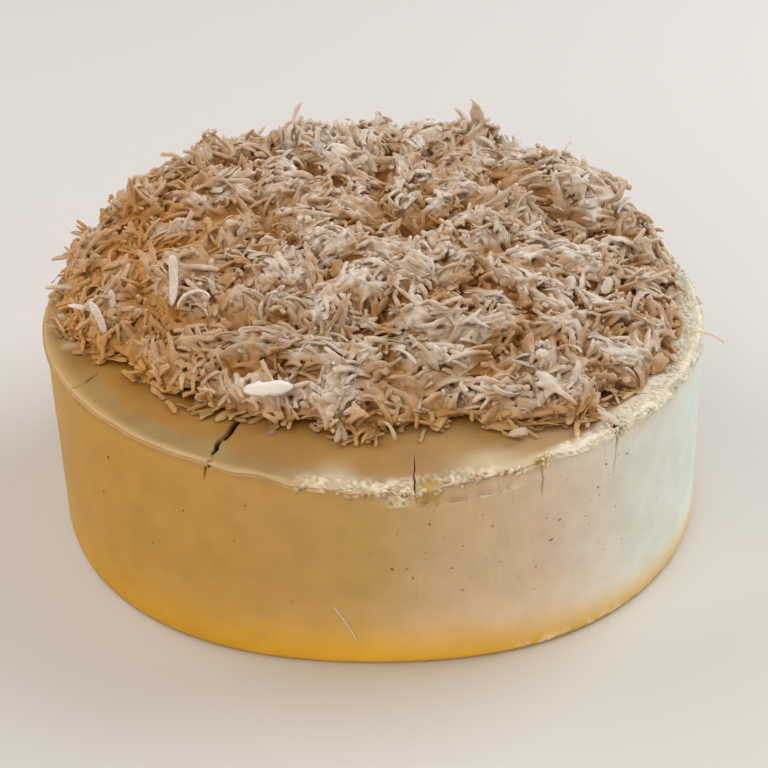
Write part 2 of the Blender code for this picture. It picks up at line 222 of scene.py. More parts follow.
def build_mesh(name, points, faces):
    """A mesh from an array of points and arrays of faces, one array for each number of corners."""
    mesh = bpy.data.meshes.new(name)
    corners = np.concatenate([part.ravel() for part in faces]).astype(np.int32)
    sizes = np.concatenate([np.full(len(part), part.shape[1]) for part in faces]).astype(np.int32)
    mesh.vertices.add(len(points))
    mesh.vertices.foreach_set("co", np.ascontiguousarray(points, np.float32).ravel())
    mesh.loops.add(len(corners))
    mesh.loops.foreach_set("vertex_index", corners)
    mesh.polygons.add(len(sizes))
    mesh.polygons.foreach_set("loop_start", np.concatenate(([0], np.cumsum(sizes)[:-1])).astype(np.int32))
    mesh.polygons.foreach_set("use_smooth", np.ones(len(sizes), bool))
    mesh.update(calc_edges=True)
    if mesh.validate():
        raise RuntimeError(f"{name} has faces that aren't sound")
    return mesh


def link_piece(mesh, attributes, material):
    """Makes a mesh a piece of the cake. The attributes are numbers or vectors, one for each point."""
    for attribute, values in attributes.items():
        is_vector = values.size == 3 * len(mesh.vertices)
        kind, field = ("FLOAT_VECTOR", "vector") if is_vector else ("FLOAT", "value")
        layer = mesh.attributes.new(attribute, kind, "POINT")
        layer.data.foreach_set(field, np.ascontiguousarray(values, np.float32).ravel())
    piece = bpy.data.objects.new(mesh.name, mesh)
    bpy.context.scene.collection.objects.link(piece)
    mesh.materials.append(material)
    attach(piece, "root")
    return piece


def link_coconut(mesh, tone, deep, grain):
    """Makes a mesh a piece of coconut, with its tone, its deep brown, partly sugar and partly painted shade,
    and places along and across its fibres.
    """
    attributes = {"tone": tone, "deep": deep, "grain": grain}
    return link_piece(mesh, attributes, coconut_material(bpy.context.scene.cake_colours))


def remake(mesh, kind, **settings):
    """The mesh as a modifier of a kind leaves it. The mesh itself is used up."""
    name = mesh.name
    body = bpy.data.objects.new(name, mesh)
    bpy.context.scene.collection.objects.link(body)
    modifier = body.modifiers.new("remake", kind)
    for setting, value in settings.items():
        setattr(modifier, setting, value)
    skin = bpy.data.meshes.new_from_object(body.evaluated_get(bpy.context.evaluated_depsgraph_get()))
    bpy.data.objects.remove(body)
    bpy.data.meshes.remove(mesh)
    skin.name = name
    return skin


def fuse(mesh, voxel, most):
    """One skin round all the closed forms of a mesh: a voxel remesh, thinned to a number of triangles."""
    skin = remake(mesh, "REMESH", mode="VOXEL", voxel_size=voxel, use_smooth_shade=True)
    triangles = len(skin.loops) - 2 * len(skin.polygons)
    skin = remake(skin, "DECIMATE", ratio=min(1.0, most / triangles))
    skin.polygons.foreach_set("use_smooth", np.ones(len(skin.polygons), bool))
    return skin


# Materials


def add_node(tree, kind, inputs=(), output=0, stops=(), **settings):
    """Adds a shader node and gives one of its outputs.

    Inputs are listed in the sockets' order or named: another node's output is linked, other values are set.
    Stops are the places and colours of a ramp.
    """
    node = tree.nodes.new("ShaderNode" + kind)
    row, column = divmod(len(tree.nodes), 8)
    node.location = (220.0 * column, -320.0 * row)
    for field, value in settings.items():
        setattr(node, field, value)
    for key, value in inputs.items() if isinstance(inputs, dict) else enumerate(inputs):
        socket = node.inputs[key]
        if isinstance(value, bpy.types.NodeSocket):
            tree.links.new(value, socket)
        else:
            socket.default_value = (*value, 1.0) if socket.type == "RGBA" else value
    if stops:
        elements = node.color_ramp.elements
        while len(elements) < len(stops):
            elements.new(0.5)
        for element, (place, colour) in zip(elements, stops):
            element.position = place
            element.color = (*colour, 1.0)
    return node.outputs[output] if node.outputs else None


def make_material(name, shade):
    """The material of that name, made once. shade gets what adds a node and gives the shader's inputs."""
    material = bpy.data.materials.get(name)
    if not material:
        material = bpy.data.materials.new(name)
        material.use_nodes = True
        material.node_tree.nodes.clear()
        add = functools.partial(add_node, material.node_tree)
        add("OutputMaterial", {"Surface": add("BsdfPrincipled", shade(add))})
    return material


def buttercream_material(colours):
    """Palm sugar buttercream, scraped: soft satin fat and sugar, a little clear just under its skin.

    It is golden at the left and pale at the right, partly its own colour and partly painted light: warm shade
    at the left and cool daylight at the right. It is golden where palm sugar has seeped into the ledge,
    partly as painted shade of the ledge, lighter where it has dried, yellower towards the base as painted
    light reflected up from below, whitish and rough where the lip is torn, with a painted highlight on the
    worn rim, and near black inside the cracks as painted shade.
    """

    def shade(add):
        place = add("TexCoord", output="Object")
        height = add("SeparateXYZ", [place], "Z")
        # From golden at the left to pale at the right, with a blotchy border, 28 mm from blotch to blotch:
        # partly the buttercream's own colour, partly painted light, warm shade at the left and cool daylight
        # at the right
        blotch = add("TexNoise", {"Vector": place, "Scale": 1.0 / (28.0 * MM), "Detail": 3.0})
        shifted = add("Math", [blotch, 30.0 * MM, height.node.outputs["X"]], operation="MULTIPLY_ADD")
        across = add("MapRange", [shifted, -60.0 * MM, 118.0 * MM])
        tones = zip((0.0, 0.42, 0.67, 0.85, 1.0), ("golden", "tan", "beige", "cream", "pale"))
        colour = add("ValToRGB", [across], stops=[(at, getattr(colours, key)) for at, key in tones])
        # Painted light: the lowest 20 mm are yellow all round, less so at the far right, a painted glow of
        # light reflected up from below
        low = add("MapRange", [height, 0.0, 20.0 * MM, 0.95, 0.0], interpolation_type="SMOOTHSTEP")
        fainter = add("MapRange", [across, 0.5, 1.1, 1.0, 3.0], interpolation_type="SMOOTHSTEP")
        low = add("Math", [low, fainter], operation="POWER")
        yellow = add("Mix", {0: across, 6: colours.painted_glow, 7: colours.painted_glow_right}, 2, data_type="RGBA")
        colour = add("Mix", {0: low, 6: colour, 7: yellow}, 2, data_type="RGBA")
        # The ledge's stain and dried skin carry painted shade as well as their own colours
        for key in ("stain", "dry", "torn", "olive", "crack"):
            amount = add("Attribute", output="Fac", attribute_name=key)
            colour = add("Mix", {0: amount, 6: colour, 7: getattr(colours, key)}, 2, data_type="RGBA")
        # Faint clouds, some 9 mm across
        clouds = add("TexNoise", {"Vector": place, "Scale": 1.0 / (9.0 * MM), "Detail": 5.0})
        value = add("MapRange", [clouds, 0.3, 0.7, 0.94, 1.06])
        # Painted light: the lowest three centimetres are lighter, most of all at the front, against the shade
        # that falls near the floor
        levels = zip((0.0, 0.2, 0.42, 0.66, 0.93), (0.15, 0.28, 0.40, 0.26, 0.11))
        painted_paler = add("ValToRGB", [across], stops=[(at, (level, level, level)) for at, level in levels])
        lift = add("MapRange", [height, 0.0, 32.0 * MM, painted_paler, 0.0], interpolation_type="SMOOTHSTEP")
        value = add("Math", [value, lift], operation="ADD")
        colour = add("HueSaturation", {"Value": value, "Color": colour})
        # Pinholes and specks of sugar, 2.6 mm apart and a few tenths of a millimetre across
        distance = add("TexVoronoi", {"Vector": place, "Scale": 1.0 / (2.6 * MM), "Randomness": 1.0})
        chosen = add("SeparateColor", [distance.node.outputs["Color"]])
        reach = add("MapRange", [chosen, 0.45, 1.0, 0.0, 0.22])
        dot = add("Math", [reach, distance], operation="SUBTRACT")
        dark = add("MapRange", [dot, 0.0, 0.08, 0.0, 0.6])
        porous = add("Attribute", output="Fac", attribute_name="porous")
        pitted = add("Math", [dark, porous], operation="MULTIPLY")
        colour = add("Mix", {0: pitted, 6: colour, 7: colours.pit}, 2, data_type="RGBA")
        # A fine grain of sugar, drawn 1.6 mm coarse so that it shows
        grain = add("TexNoise", {"Vector": place, "Scale": 1.0 / (1.6 * MM), "Detail": 4.0})
        relief = add("Math", [pitted, -1.5, grain], operation="MULTIPLY_ADD")
        bump = add("Bump", {"Height": relief, "Strength": 0.35, "Distance": 0.18 * MM})
        return {
            "Base Color": colour,
            "Roughness": 0.52,
            "IOR": 1.46,
            "Subsurface Weight": 0.25,
            "Subsurface Radius": (1.0, 0.62, 0.30),
            "Subsurface Scale": 2.4 * MM,
            "Normal": bump,
        }

    return make_material("scraped_buttercream", shade)


def coconut_material(colours):
    """Grated coconut steeped in palm sugar: moist, half clear white flesh, browner deep in the heap, partly
    sugar and partly painted shade.
    """

    def shade(add):
        # Fibres run along each shred, 0.6 mm apart; the real ones are finer
        grain = add("Attribute", output="Vector", attribute_name="grain")
        fibres = add("TexNoise", {"Vector": grain, "Scale": 1.0 / (0.6 * MM), "Detail": 2.0})
        bump = add("Bump", {"Height": fibres, "Strength": 0.6, "Distance": 0.25 * MM})
        streaks = add("MapRange", [fibres, 0.3, 0.7, -0.08, 0.08])
        tone = add("Attribute", output="Fac", attribute_name="tone")
        streaked = add("Math", [tone, streaks], operation="ADD")
        tones = zip((0.0, 0.3, 0.62, 0.92, 1.0), ("brown", "tan", "beige", "white", "flake"))
        stops = [(at, getattr(colours, f"coconut_{key}")) for at, key in tones]
        flesh = add("ValToRGB", [streaked], stops=stops)
        # deep mixes in the brown of palm sugar deep in the heap and of painted shade there
        deep = add("Attribute", output="Fac", attribute_name="deep")
        return {
            "Base Color": add("Mix", {0: deep, 6: flesh, 7: colours.syrup_and_shade}, 2, data_type="RGBA"),
            "Roughness": 0.5,
            "IOR": 1.44,
            "Specular IOR Level": 0.35,
            "Subsurface Weight": 0.7,
            "Subsurface Radius": (1.0, 0.95, 0.9),
            "Subsurface Scale": 2.4 * MM,
            "Normal": bump,
        }

    return make_material("steeped_coconut", shade)


# The buttercream


def lathe_faces(rings, steps):
    """Quads between neighbouring rings and fans to the two poles: the first point above, the last below."""
    start = 1 + np.arange(rings - 1)[:, None] * steps
    here = np.arange(steps)[None, :]
    beside = (here + 1) % steps
    corners = (start + here, start + steps + here, start + steps + beside, start + beside)
    first = 1 + np.arange(steps)
    last = first + (rings - 1) * steps
    upper = np.stack((np.zeros(steps, int), first, np.roll(first, -1)), axis=-1)
    lower = np.stack((np.full(steps, 1 + rings * steps), np.roll(last, -1), last), axis=-1)
    return [np.stack(corners, axis=-1).reshape(-1, 4), np.concatenate((upper, lower))]


def cake_profile(sizes):
    """Radius, height and distance along the frosting's profile, from near the top's middle to the base's.

    The corners of the solid's profile are read at even steps along each stretch and then rounded by a running
    mean.
    """
    corners = np.array(
        [
            (0.010, CAKE_HEIGHT),
            (0.060, CAKE_HEIGHT),
            (0.088, CAKE_HEIGHT),
            (CAKE_RADIUS - LIP_WIDTH, CAKE_HEIGHT),
            (CAKE_RADIUS - 0.45 * LIP_WIDTH, CAKE_HEIGHT + LIP_RISE),
            (CAKE_RADIUS, CAKE_HEIGHT + 0.6 * LIP_RISE),
            (CAKE_RADIUS + LIP_OVERHANG, CAKE_HEIGHT - 0.3 * LIP_DEPTH),
            (CAKE_RADIUS, CAKE_HEIGHT - LIP_DEPTH),
            (CAKE_RADIUS, CAKE_HEIGHT - 2.2 * LIP_DEPTH),
            (BASE_RADIUS, BASE_EDGE),
            (BASE_RADIUS - 0.3 * BASE_EDGE, 0.3 * BASE_EDGE),
            (BASE_RADIUS - BASE_EDGE, 0.0),
            (0.020, 0.0),
        ]
    )
    spacing = (25.0, 2.0, 0.5, 0.34, 0.34, 0.34, 0.34, 0.4, sizes.side_step / MM, 0.8, 0.8, 30.0)
    length = np.concatenate(([0.0], np.cumsum(np.linalg.norm(np.diff(corners, axis=0), axis=1))))
    stations = [
        np.linspace(start, end, max(1, round((end - start) / (step * MM))), endpoint=False)
        for start, end, step in zip(length, length[1:], spacing)
    ]
    along = np.concatenate((*stations, length[-1:]))
    fine = np.arange(0.0, length[-1], 0.1 * MM)
    width = round(sizes.edge_round / (0.1 * MM))
    kernel = np.hanning(width + 2)[1:-1]
    kernel = kernel / kernel.sum()

    def rounded(column):
        padded = np.pad(np.interp(fine, length, column), width, "edge")
        return np.interp(along, fine, np.convolve(padded, kernel, "same")[width:-width])

    radius, height = (rounded(column) for column in corners.T)
    return radius, np.where(along > length[-2], 0.0, height), along


def sag(azimuth, radius):
    """How far the top has sagged at the front, more towards its rim."""
    return SAG_DEPTH * round_bump(azimuth, -88.0, 17.0) * smooth_step(radius, SAG_FROM, CAKE_RADIUS)


def settle(x, y, z):
    """Gives round points the cake's faults: out of round, ragged lip, flared left, sagged front and lean."""
    radius = np.hypot(x, y)
    azimuth = np.degrees(np.arctan2(y, x))
    outer = smooth_step(radius, 0.5 * CAKE_RADIUS, CAKE_RADIUS)
    up = z / CAKE_HEIGHT
    on_lip = smooth_step(z, CAKE_HEIGHT - LIP_DEPTH, CAKE_HEIGHT)
    on_lip = on_lip * smooth_step(radius, CAKE_RADIUS - LIP_WIDTH, CAKE_RADIUS - 0.4 * LIP_WIDTH)
    ragged = 0.25 + 0.75 * round_bump(azimuth, -55.0, 60.0)
    spread = outer * waves(azimuth, OUT_OF_ROUND) + on_lip * LIP_FLARE * round_bump(azimuth, 188.0, 26.0)
    drawn = waves(azimuth, SQUARED) - BASE_DRAWN_IN * round_bump(azimuth, -89.0, 25.0)
    spread = spread + (1.0 - up) * outer * drawn
    scale = (radius + spread) / np.maximum(radius, 1e-6)
    sunk = sag(azimuth, radius) * smooth_step(z, 0.5 * CAKE_HEIGHT, CAKE_HEIGHT)
    height = z + on_lip * LIP_CRAG * ragged * waves(azimuth, LIP_CRAGS) - sunk
    return np.stack((x * scale + TOP_LEAN * up, y * scale, height), axis=-1)


def azimuth_stations(count):
    """Azimuths round the cake, packed closer at the front and closest where a crack runs."""
    fine = np.linspace(-180.0, 180.0, 7201)
    density = 0.35 + 1.0 * round_bump(fine, -72.0, 62.0)
    for _, way in CRACKS:
        middle = sum(station[0] for station in way) / len(way)
        density = density + 1.8 * round_bump(fine, middle, 1.8)
    total = np.concatenate(([0.0], np.cumsum(0.5 * (density[1:] + density[:-1]))))
    return np.interp(np.arange(count) * total[-1] / count, total, fine)


def crack_field(azimuth, along):
    """How deep a crack cuts, at azimuths and distances out along the ledge and down the side.

    Each crack is a polyline in azimuth along the profile. Its cut is a V across, its edge jogged by noise,
    and further out the frosting bridges it here and there.
    """
    depth = np.zeros(np.broadcast(azimuth, along).shape)
    for seed, way in CRACKS:
        columns = np.array(way).T
        stations = columns[1] + columns[2]
        centre, half, cut = (np.interp(along, stations, columns[column]) for column in (0, 3, 4))
        first, last = stations[0], stations[-1]
        ends = window(along, first - 1.2 * MM, first + 0.8 * MM, last - 1.0 * MM, last + 1.2 * MM)
        jog = 0.8 * half * round_noise(0.0, along, 2.2 * MM, seed)
        across = np.abs(np.radians(azimuth - centre) * CAKE_RADIUS + jog)
        bridged = smooth_step(round_noise(0.0, along, 1.3 * MM, 3 + seed), 0.1, 0.5)
        bridged = bridged * smooth_step(along, 88.0 * MM, 96.0 * MM)
        depth = np.maximum(depth, ends * cut * (1.0 - 0.8 * bridged) * np.clip(1.2 - across / half, 0.0, 1.0))
    return depth


def frosting_relief(azimuth, radius, height, along):
    """Height of the fine relief over the smooth frosting, with the amounts that colour it.

    Broad undulations and scraper lines everywhere, crags and tufts on the torn lip, a broken step right of
    the front crack, folds on the left ledge, pores on the right of the front and the cracks. It is worked out
    in millimetres: out is a point's radius, rim its distance out along the ledge and then down the side, and
    drop its depth below the top.
    """

    def noise(wavelength, seed, squeeze=1.0):
        return round_noise(azimuth, along, wavelength * MM, seed, squeeze)

    def mark(centre, spread, distance, *ends):
        return round_bump(azimuth, centre, spread) * window(distance, *ends)

    def inside(widths):
        return CAKE_RADIUS - widths * LIP_WIDTH

    reach = radius + np.clip(CAKE_HEIGHT - height, 0.0, None)
    out, rim, drop = radius / MM, reach / MM, (CAKE_HEIGHT - height) / MM
    ledge = smooth_step(-drop, -0.5, 0.0) * (radius < inside(1.0))
    side = smooth_step(drop, 1.5, 4.0) * (out > 90.0)
    lip = smooth_step(radius, inside(1.9), inside(0.8))
    lip = lip * smooth_step(height, CAKE_HEIGHT - 1.3 * LIP_DEPTH, CAKE_HEIGHT - 0.35 * LIP_DEPTH)
    coarse, fine, tiny = noise(4.2, 4), noise(1.5, 5), noise(0.9, 19)
    patchy = noise(12.0, 10)
    relief = 0.22 * noise(34.0, 1) + 0.10 * noise(9.0, 2) + 0.05 * side * noise(60.0, 3, 0.035)
    # The crest and the bead of the lip are worn away, less so where it is torn
    crest = smooth_step(radius, inside(1.2), inside(0.4))
    crest = crest * smooth_step(height, CAKE_HEIGHT - 0.3 * LIP_DEPTH, CAKE_HEIGHT + 0.3 * LIP_RISE)
    bead = np.exp(-(((CAKE_HEIGHT - 0.35 * LIP_DEPTH - height) / (0.5 * LIP_DEPTH)) ** 2))
    bead = bead * smooth_step(radius, inside(0.3), CAKE_RADIUS + 0.3 * LIP_OVERHANG)
    worn = 1.0 - 0.55 * stretch(azimuth, -62.0, 10.0, 10.0)
    relief = relief - (0.95 * LIP_RISE * crest + LIP_OVERHANG * bead) * worn / MM
    # The lip is torn from the front round to the right, most of all past the right crack
    torn_stretch = stretch(azimuth, -59.0, 6.0, 6.0)
    grainy_stretch = stretch(azimuth, -101.0, -70.0, 6.0)
    calm = 0.10 + 0.9 * torn_stretch + 0.35 * grainy_stretch
    relief = relief + lip * calm * (0.30 * coarse + 0.40 * fine)
    tufts = stretch(azimuth, -48.0, -8.0, 4.0) * lip
    combed = noise(1.1, 6, 3.5)
    relief = relief + 0.55 * tufts * combed
    wide = wide_lip(azimuth) / MM
    band = smooth_step(rim + wide, 94.5, 97.5) * (1.0 - smooth_step(rim - 0.35 * wide, 104.0, 106.5))
    ragged = smooth_step(0.55 * coarse + 0.65 * fine + 0.35 * combed * tufts, -0.5, 0.35)
    white = band * torn_stretch * (0.45 + 0.55 * ragged)
    grainy = window(rim, 92.0, 96.0, 100.5, 102.5) * grainy_stretch
    speckled = grainy * smooth_step(tiny + 0.8 * coarse, -0.7, 0.9)
    relief = relief + 0.28 * grainy * tiny
    # Dried skin on the rim of the ledge, pale and rosy right of the front crack; its colour is darkened as
    # painted shade of the ledge
    skin = smooth_step(rim + 3.0 * patchy, 87.0, 95.0) * (1.0 - smooth_step(rim, 96.0, 98.5))
    moist = stretch(azimuth, -70.0, 25.0, 12.0) + 0.5 * round_bump(azimuth, -170.0, 28.0)
    dry = skin * (0.85 + 0.2 * patchy) * (1.0 - moist)
    rosy = skin * (0.30 + 0.2 * patchy) * stretch(azimuth, -100.0, -64.0, 7.0)
    rosy = rosy * (1.0 + 0.7 * round_bump(azimuth, -90.5, 6.0) - 0.7 * round_bump(azimuth, -79.0, 3.5))
    # A crumbly mass left of the front crack, and the low torn step to its right
    mass = mark(-85.6, 2.0, rim, 96.0, 99.5, 103.0, 105.5)
    step = stretch(azimuth, -82.3, -66.0, 1.2)
    bite = smooth_step(out, 95.0, 99.0) * (1.0 - smooth_step(drop, 5.2, 6.0))
    crust = step * np.exp(-(((drop - 5.7) / 0.45) ** 2)) * (out > 98.0)
    crust = crust * smooth_step(fine + 0.6 * coarse, -0.6, 0.5)
    relief = relief + 0.5 * mass * (1.0 + coarse + fine) - step * bite * (0.75 + 0.35 * coarse) + 0.45 * crust
    # Olive hollows: the dent by the front crack, the notch and the mouth of the right crack
    hollow = mark(-80.6, 1.5, rim, 93.0, 98.0, 103.5, 107.0)
    notch = mark(-62.2, 1.0, rim, 96.5, 99.0, 101.5, 104.5)
    mouth = mark(-45.6, 1.0, rim, 93.5, 96.0, 102.0, 104.0)
    relief = relief - (0.7 * hollow + 1.3 * notch + 1.2 * mouth)
    # A hairline runs down the side below the notch
    line = np.abs(np.radians(azimuth + 62.0) * CAKE_RADIUS / MM + 0.3 * fine)
    hair = (1.0 - smooth_step(line, 0.12, 0.45)) * window(drop, 1.0, 3.0, 9.0, 12.0) * (out > 98.0)
    # Folds of frosting on the ledge at the left
    slit = round_bump(azimuth, 170.0, 1.3) * smooth_step(out, 93.0, 96.0) * ledge
    fold = mark(-175.0, 1.5, out, 88.0, 92.0, 96.0, 98.0) * ledge
    second = mark(-164.0, 1.2, out, 86.0, 90.0, 94.0, 97.0) * ledge
    relief = relief + 0.9 * fold + 0.5 * second - 0.8 * slit - 0.4 * hair
    # Pores on the right of the front
    porous = side * stretch(azimuth, -88.0, -44.0, 9.0) * smooth_step(height, 14.0 * MM, 26.0 * MM)
    relief = relief - 0.16 * porous * smooth_step(noise(1.2, 8, 2.6), 0.15, 0.8)
    crack = crack_field(azimuth, reach) / MM
    # A thin crust where the base was lifted, at the right
    edge = np.exp(-(((height / MM - 1.6) / 1.1) ** 2)) * stretch(azimuth, -66.0, -33.0, 5.0) * (out > 90.0)
    relief = relief - crack + 0.35 * edge * fine
    pale = 0.8 * white + 0.6 * speckled + 0.95 * mass * (0.6 + 0.4 * tiny) + 0.6 * crust + rosy
    pale = pale + edge * smooth_step(fine, -0.2, 0.6) + 0.6 * fold + 0.4 * second
    # Whitish on the worn rim's crest, outside the torn stretch: partly grains, partly a painted highlight
    pale = pale - 0.8 * (hollow + notch + mouth) + 0.2 * crest * (1.0 - torn_stretch)
    amounts = {
        # Painted shade: near black inside the cracks and along the hairline
        "crack": smooth_step(crack, 0.4, 1.4) + 0.45 * hair,
        "dry": dry,
        "torn": pale,
        "olive": hollow + notch + mouth + 0.2 * ledge * smooth_step(patchy, -0.2, 0.8),
        "porous": 0.25 * side + porous,
        "stain": stain_and_shade_field(azimuth, radius, height),
    }
    return relief * MM, {name: np.clip(amount, 0.0, 1.0) for name, amount in amounts.items()}


def wide_lip(azimuth):
    """How much further the torn lip reaches inwards at the right."""
    return 4.0 * MM * stretch(azimuth, -46.0, 14.0, 8.0)


def stain_and_shade_field(azimuth, radius, height):
    """Palm sugar crept out of the coconut, with painted shade: full at the heap's foot, fading over a
    centimetre.

    The golden brown by the foot is partly the heap's painted shade, and the whole ledge is darkened as
    painted shade, less towards its rim.
    """
    wide = wide_lip(azimuth)
    foot = read_outline(azimuth)[0] - 1.5 * wide
    creep = 7.0 * MM + 4.0 * MM * round_noise(azimuth, radius, 16.0 * MM, 9)
    near = 1.0 - smooth_step(radius, foot, foot + creep)
    # Painted shade over the whole ledge, which gets less light than the side, lighter towards its rim
    spots = ((-0.12, -92.0, 12.0), (0.15, -65.0, 5.0), (-0.15, -145.0, 22.0))
    damp_and_shade = 0.78 + sum(amount * round_bump(azimuth, centre, spread) for amount, centre, spread in spots)
    damp_and_shade = damp_and_shade * (1.0 - 0.6 * smooth_step(radius + wide, 94.0 * MM, 98.0 * MM))
    return np.maximum(near, damp_and_shade) * smooth_step(height, CAKE_HEIGHT - 3.0 * MM, CAKE_HEIGHT - 1.0 * MM)


def make_frosting(context):
    """The buttercream: the solid's profile carried round, with fine relief pushed out along its normal."""
    sizes = context.scene.cake_sizes
    radius, height, along = cake_profile(sizes)
    azimuth = azimuth_stations(sizes.round_steps)[None, :]
    tangent = np.gradient(np.stack((radius, height), axis=-1), along, axis=0)
    normal = unit(np.stack((-tangent[:, 1], tangent[:, 0]), axis=-1))
    radius, height, along = radius[:, None], height[:, None], along[:, None]
    relief, amounts = frosting_relief(azimuth, radius, height, along)
    # The underside stays flat
    relief = relief * smooth_step(height, 0.2 * MM, 2.0 * MM)
    grown = radius + relief * normal[:, :1]
    turn = np.radians(azimuth)
    points = settle(grown * np.cos(turn), grown * np.sin(turn), height + relief * normal[:, 1:])
    shape = points.shape[:2]
    upper = settle(np.zeros(1), np.zeros(1), np.array([CAKE_HEIGHT]))
    points = np.concatenate((upper, points.reshape(-1, 3), np.zeros((1, 3))))
    floats = {
        name: np.concatenate(([0.0], np.broadcast_to(amount, shape).ravel(), [0.0]))
        for name, amount in amounts.items()
    }
    mesh = build_mesh("buttercream", points, lathe_faces(*shape))
    piece = link_piece(mesh, floats, buttercream_material(context.scene.cake_colours))
    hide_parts("frosted_cake")


def lie_on_frosting(azimuth, along_rim, heading, tilt, lift):
    """Places lifted off the settled frosting, with their normals and ways.

    They are given by azimuths and by distances out along the ledge and then down the side. Ways are turned by
    a heading from straight out and down, and tilted.
    """

    def settled(azimuth, along_rim):
        radius = np.minimum(along_rim, CAKE_RADIUS)
        turn = np.radians(azimuth)
        height = CAKE_HEIGHT - np.maximum(along_rim - CAKE_RADIUS, 0.0)
        return settle(radius * np.cos(turn), radius * np.sin(turn), height)

    place = settled(azimuth, along_rim)
    down = settled(azimuth, along_rim + 1.0 * MM) - settled(azimuth, along_rim - 1.0 * MM)
    out = unit(np.cross(down, settled(azimuth + 0.5, along_rim) - place))
    along, normal = turn_way(unit(down), out, heading, tilt)
    return place + out * lift, normal, along


# Beds of crumbs on the lip: number, azimuths, distances along the profile, lengths and widths in mm, and the
# share that points outwards
CRUMB_BEDS = (
    (620, (-62.0, 22.0), (95.5, 102.4), (0.9, 2.0), (0.5, 1.2), 0.6),
    (300, (-44.0, 2.0), (94.5, 101.0), (1.8, 3.6), (0.35, 0.6), 0.95),
    (46, (-102.0, -64.0), (97.0, 101.5), (1.0, 2.6), (0.8, 1.8), 0.2),
    (60, (-87.6, -83.9), (96.5, 103.5), (0.9, 2.0), (0.7, 1.3), 0.3),
    (40, (-82.0, -66.0), (104.8, 106.0), (0.6, 1.5), (0.4, 0.8), 0.2),
    (60, (22.0, 190.0), (98.0, 102.0), (0.7, 1.6), (0.5, 0.9), 0.3),
)


def make_crumbs(context):
    """Crumbs of torn buttercream on the lip: small flakes, most at the right, and like bristles there."""
    draw = np.random.default_rng(61)
    stations, section = 4, 5
    parts = []
    for count, azimuths, alongs, lengths, widths, combed in CRUMB_BEDS:
        azimuth = draw.uniform(*azimuths, count)
        along_rim = draw.uniform(*alongs, count) * MM
        heading = np.radians(draw.normal(0.0, 18.0 + 90.0 * (1.0 - combed), count))
        tilt = np.radians(draw.normal(-10.0, 16.0, count))
        width = draw.uniform(*widths, count) * MM
        lift = draw.uniform(-0.4, 0.1, count)[:, None] * MM
        points = strand_points(
            *lie_on_frosting(azimuth, along_rim, heading, tilt, lift),
            draw.uniform(*lengths, count) * MM,
            width,
            0.55 * width,
            stations,
            section,
            bend=np.radians(draw.normal(25.0, 15.0, count)),
            sway=np.radians(draw.normal(0.0, 15.0, count)),
            fray=draw.uniform(0.6, 1.1, (2, count, stations)),
            cut=draw.uniform(0.3, 0.9, (2, count, 2)),
        )
        right = stretch(azimuth, -66.0, 40.0, 8.0)
        torn = draw.uniform(0.1, 0.5, count) + 0.45 * right
        # Crumbs away from the right take the ledge's golden brown, partly painted shade
        stain = draw.uniform(0.3, 0.7, count) * (1.0 - right)
        parts.append((points, torn, stain))
    points, torn, stain = (np.concatenate(part) for part in zip(*parts))
    amounts = {"torn": np.repeat(torn, stations * section), "stain": np.repeat(stain, stations * section)}
    mesh = tube_mesh("lip_crumbs", points, stations, section)
    link_piece(mesh, amounts, buttercream_material(context.scene.cake_colours))


# Specks of palm sugar on the side: azimuth, height and length in mm
SPECKS = (
    (-138.4, 51.5, 1.0),
    (-141.0, 37.5, 0.8),
    (-121.9, 45.8, 0.9),
    (-110.6, 53.4, 0.8),
    (-87.3, 35.0, 1.3),
    (-84.0, 31.6, 1.0),
    (-60.4, 36.7, 1.9),
    (-81.1, 51.9, 1.1),
    (-58.8, 42.6, 1.2),
    (-66.8, 45.6, 0.9),
    (-77.6, 34.0, 1.0),
    (-44.0, 54.2, 0.8),
    (-53.5, 40.4, 0.9),
    (-50.9, 48.2, 0.8),
    (-49.1, 54.6, 0.8),
    (-129.0, 30.0, 0.7),
    (-118.0, 25.5, 0.6),
    (-113.0, 40.0, 0.7),
    (-104.0, 22.0, 0.6),
)


def make_specks(context):
    """Specks of palm sugar in the side, each a flat grain sunk into the buttercream."""
    azimuth, height, length = np.array(SPECKS).T
    draw = np.random.default_rng(71)
    count, stations, section = len(azimuth), 5, 6
    along_rim = CAKE_RADIUS + CAKE_HEIGHT - height * MM
    points = strand_points(
        *lie_on_frosting(azimuth, along_rim, draw.uniform(0.0, math.pi, count), 0.0, 0.1 * MM),
        0.8 * length * MM,
        0.5 * length * MM,
        np.full(count, 0.5 * MM),
        stations,
        section,
        fray=draw.uniform(0.6, 1.1, (2, count, stations)),
        cut=draw.uniform(0.2, 0.6, (2, count, 2)),
    )
    # Dark palm sugar, half melted: brown, a little glossy
    shine = {"Base Color": context.scene.cake_colours.speck, "Roughness": 0.35}
    material = make_material("palm_sugar_specks", lambda add: shine)
    link_piece(tube_mesh("side_specks", points, stations, section), {}, material)


# A stray fibre and two white specks on the side: azimuth, height in mm, heading in degrees from straight
# down, length and width in mm
SIDE_FIBRES = (
    (-95.1, 15.2, 27.0, 15.0, 0.5),
    (-71.6, 37.5, 0.0, 1.1, 0.9),
    (-54.6, 37.0, 0.0, 1.2, 1.0),
)


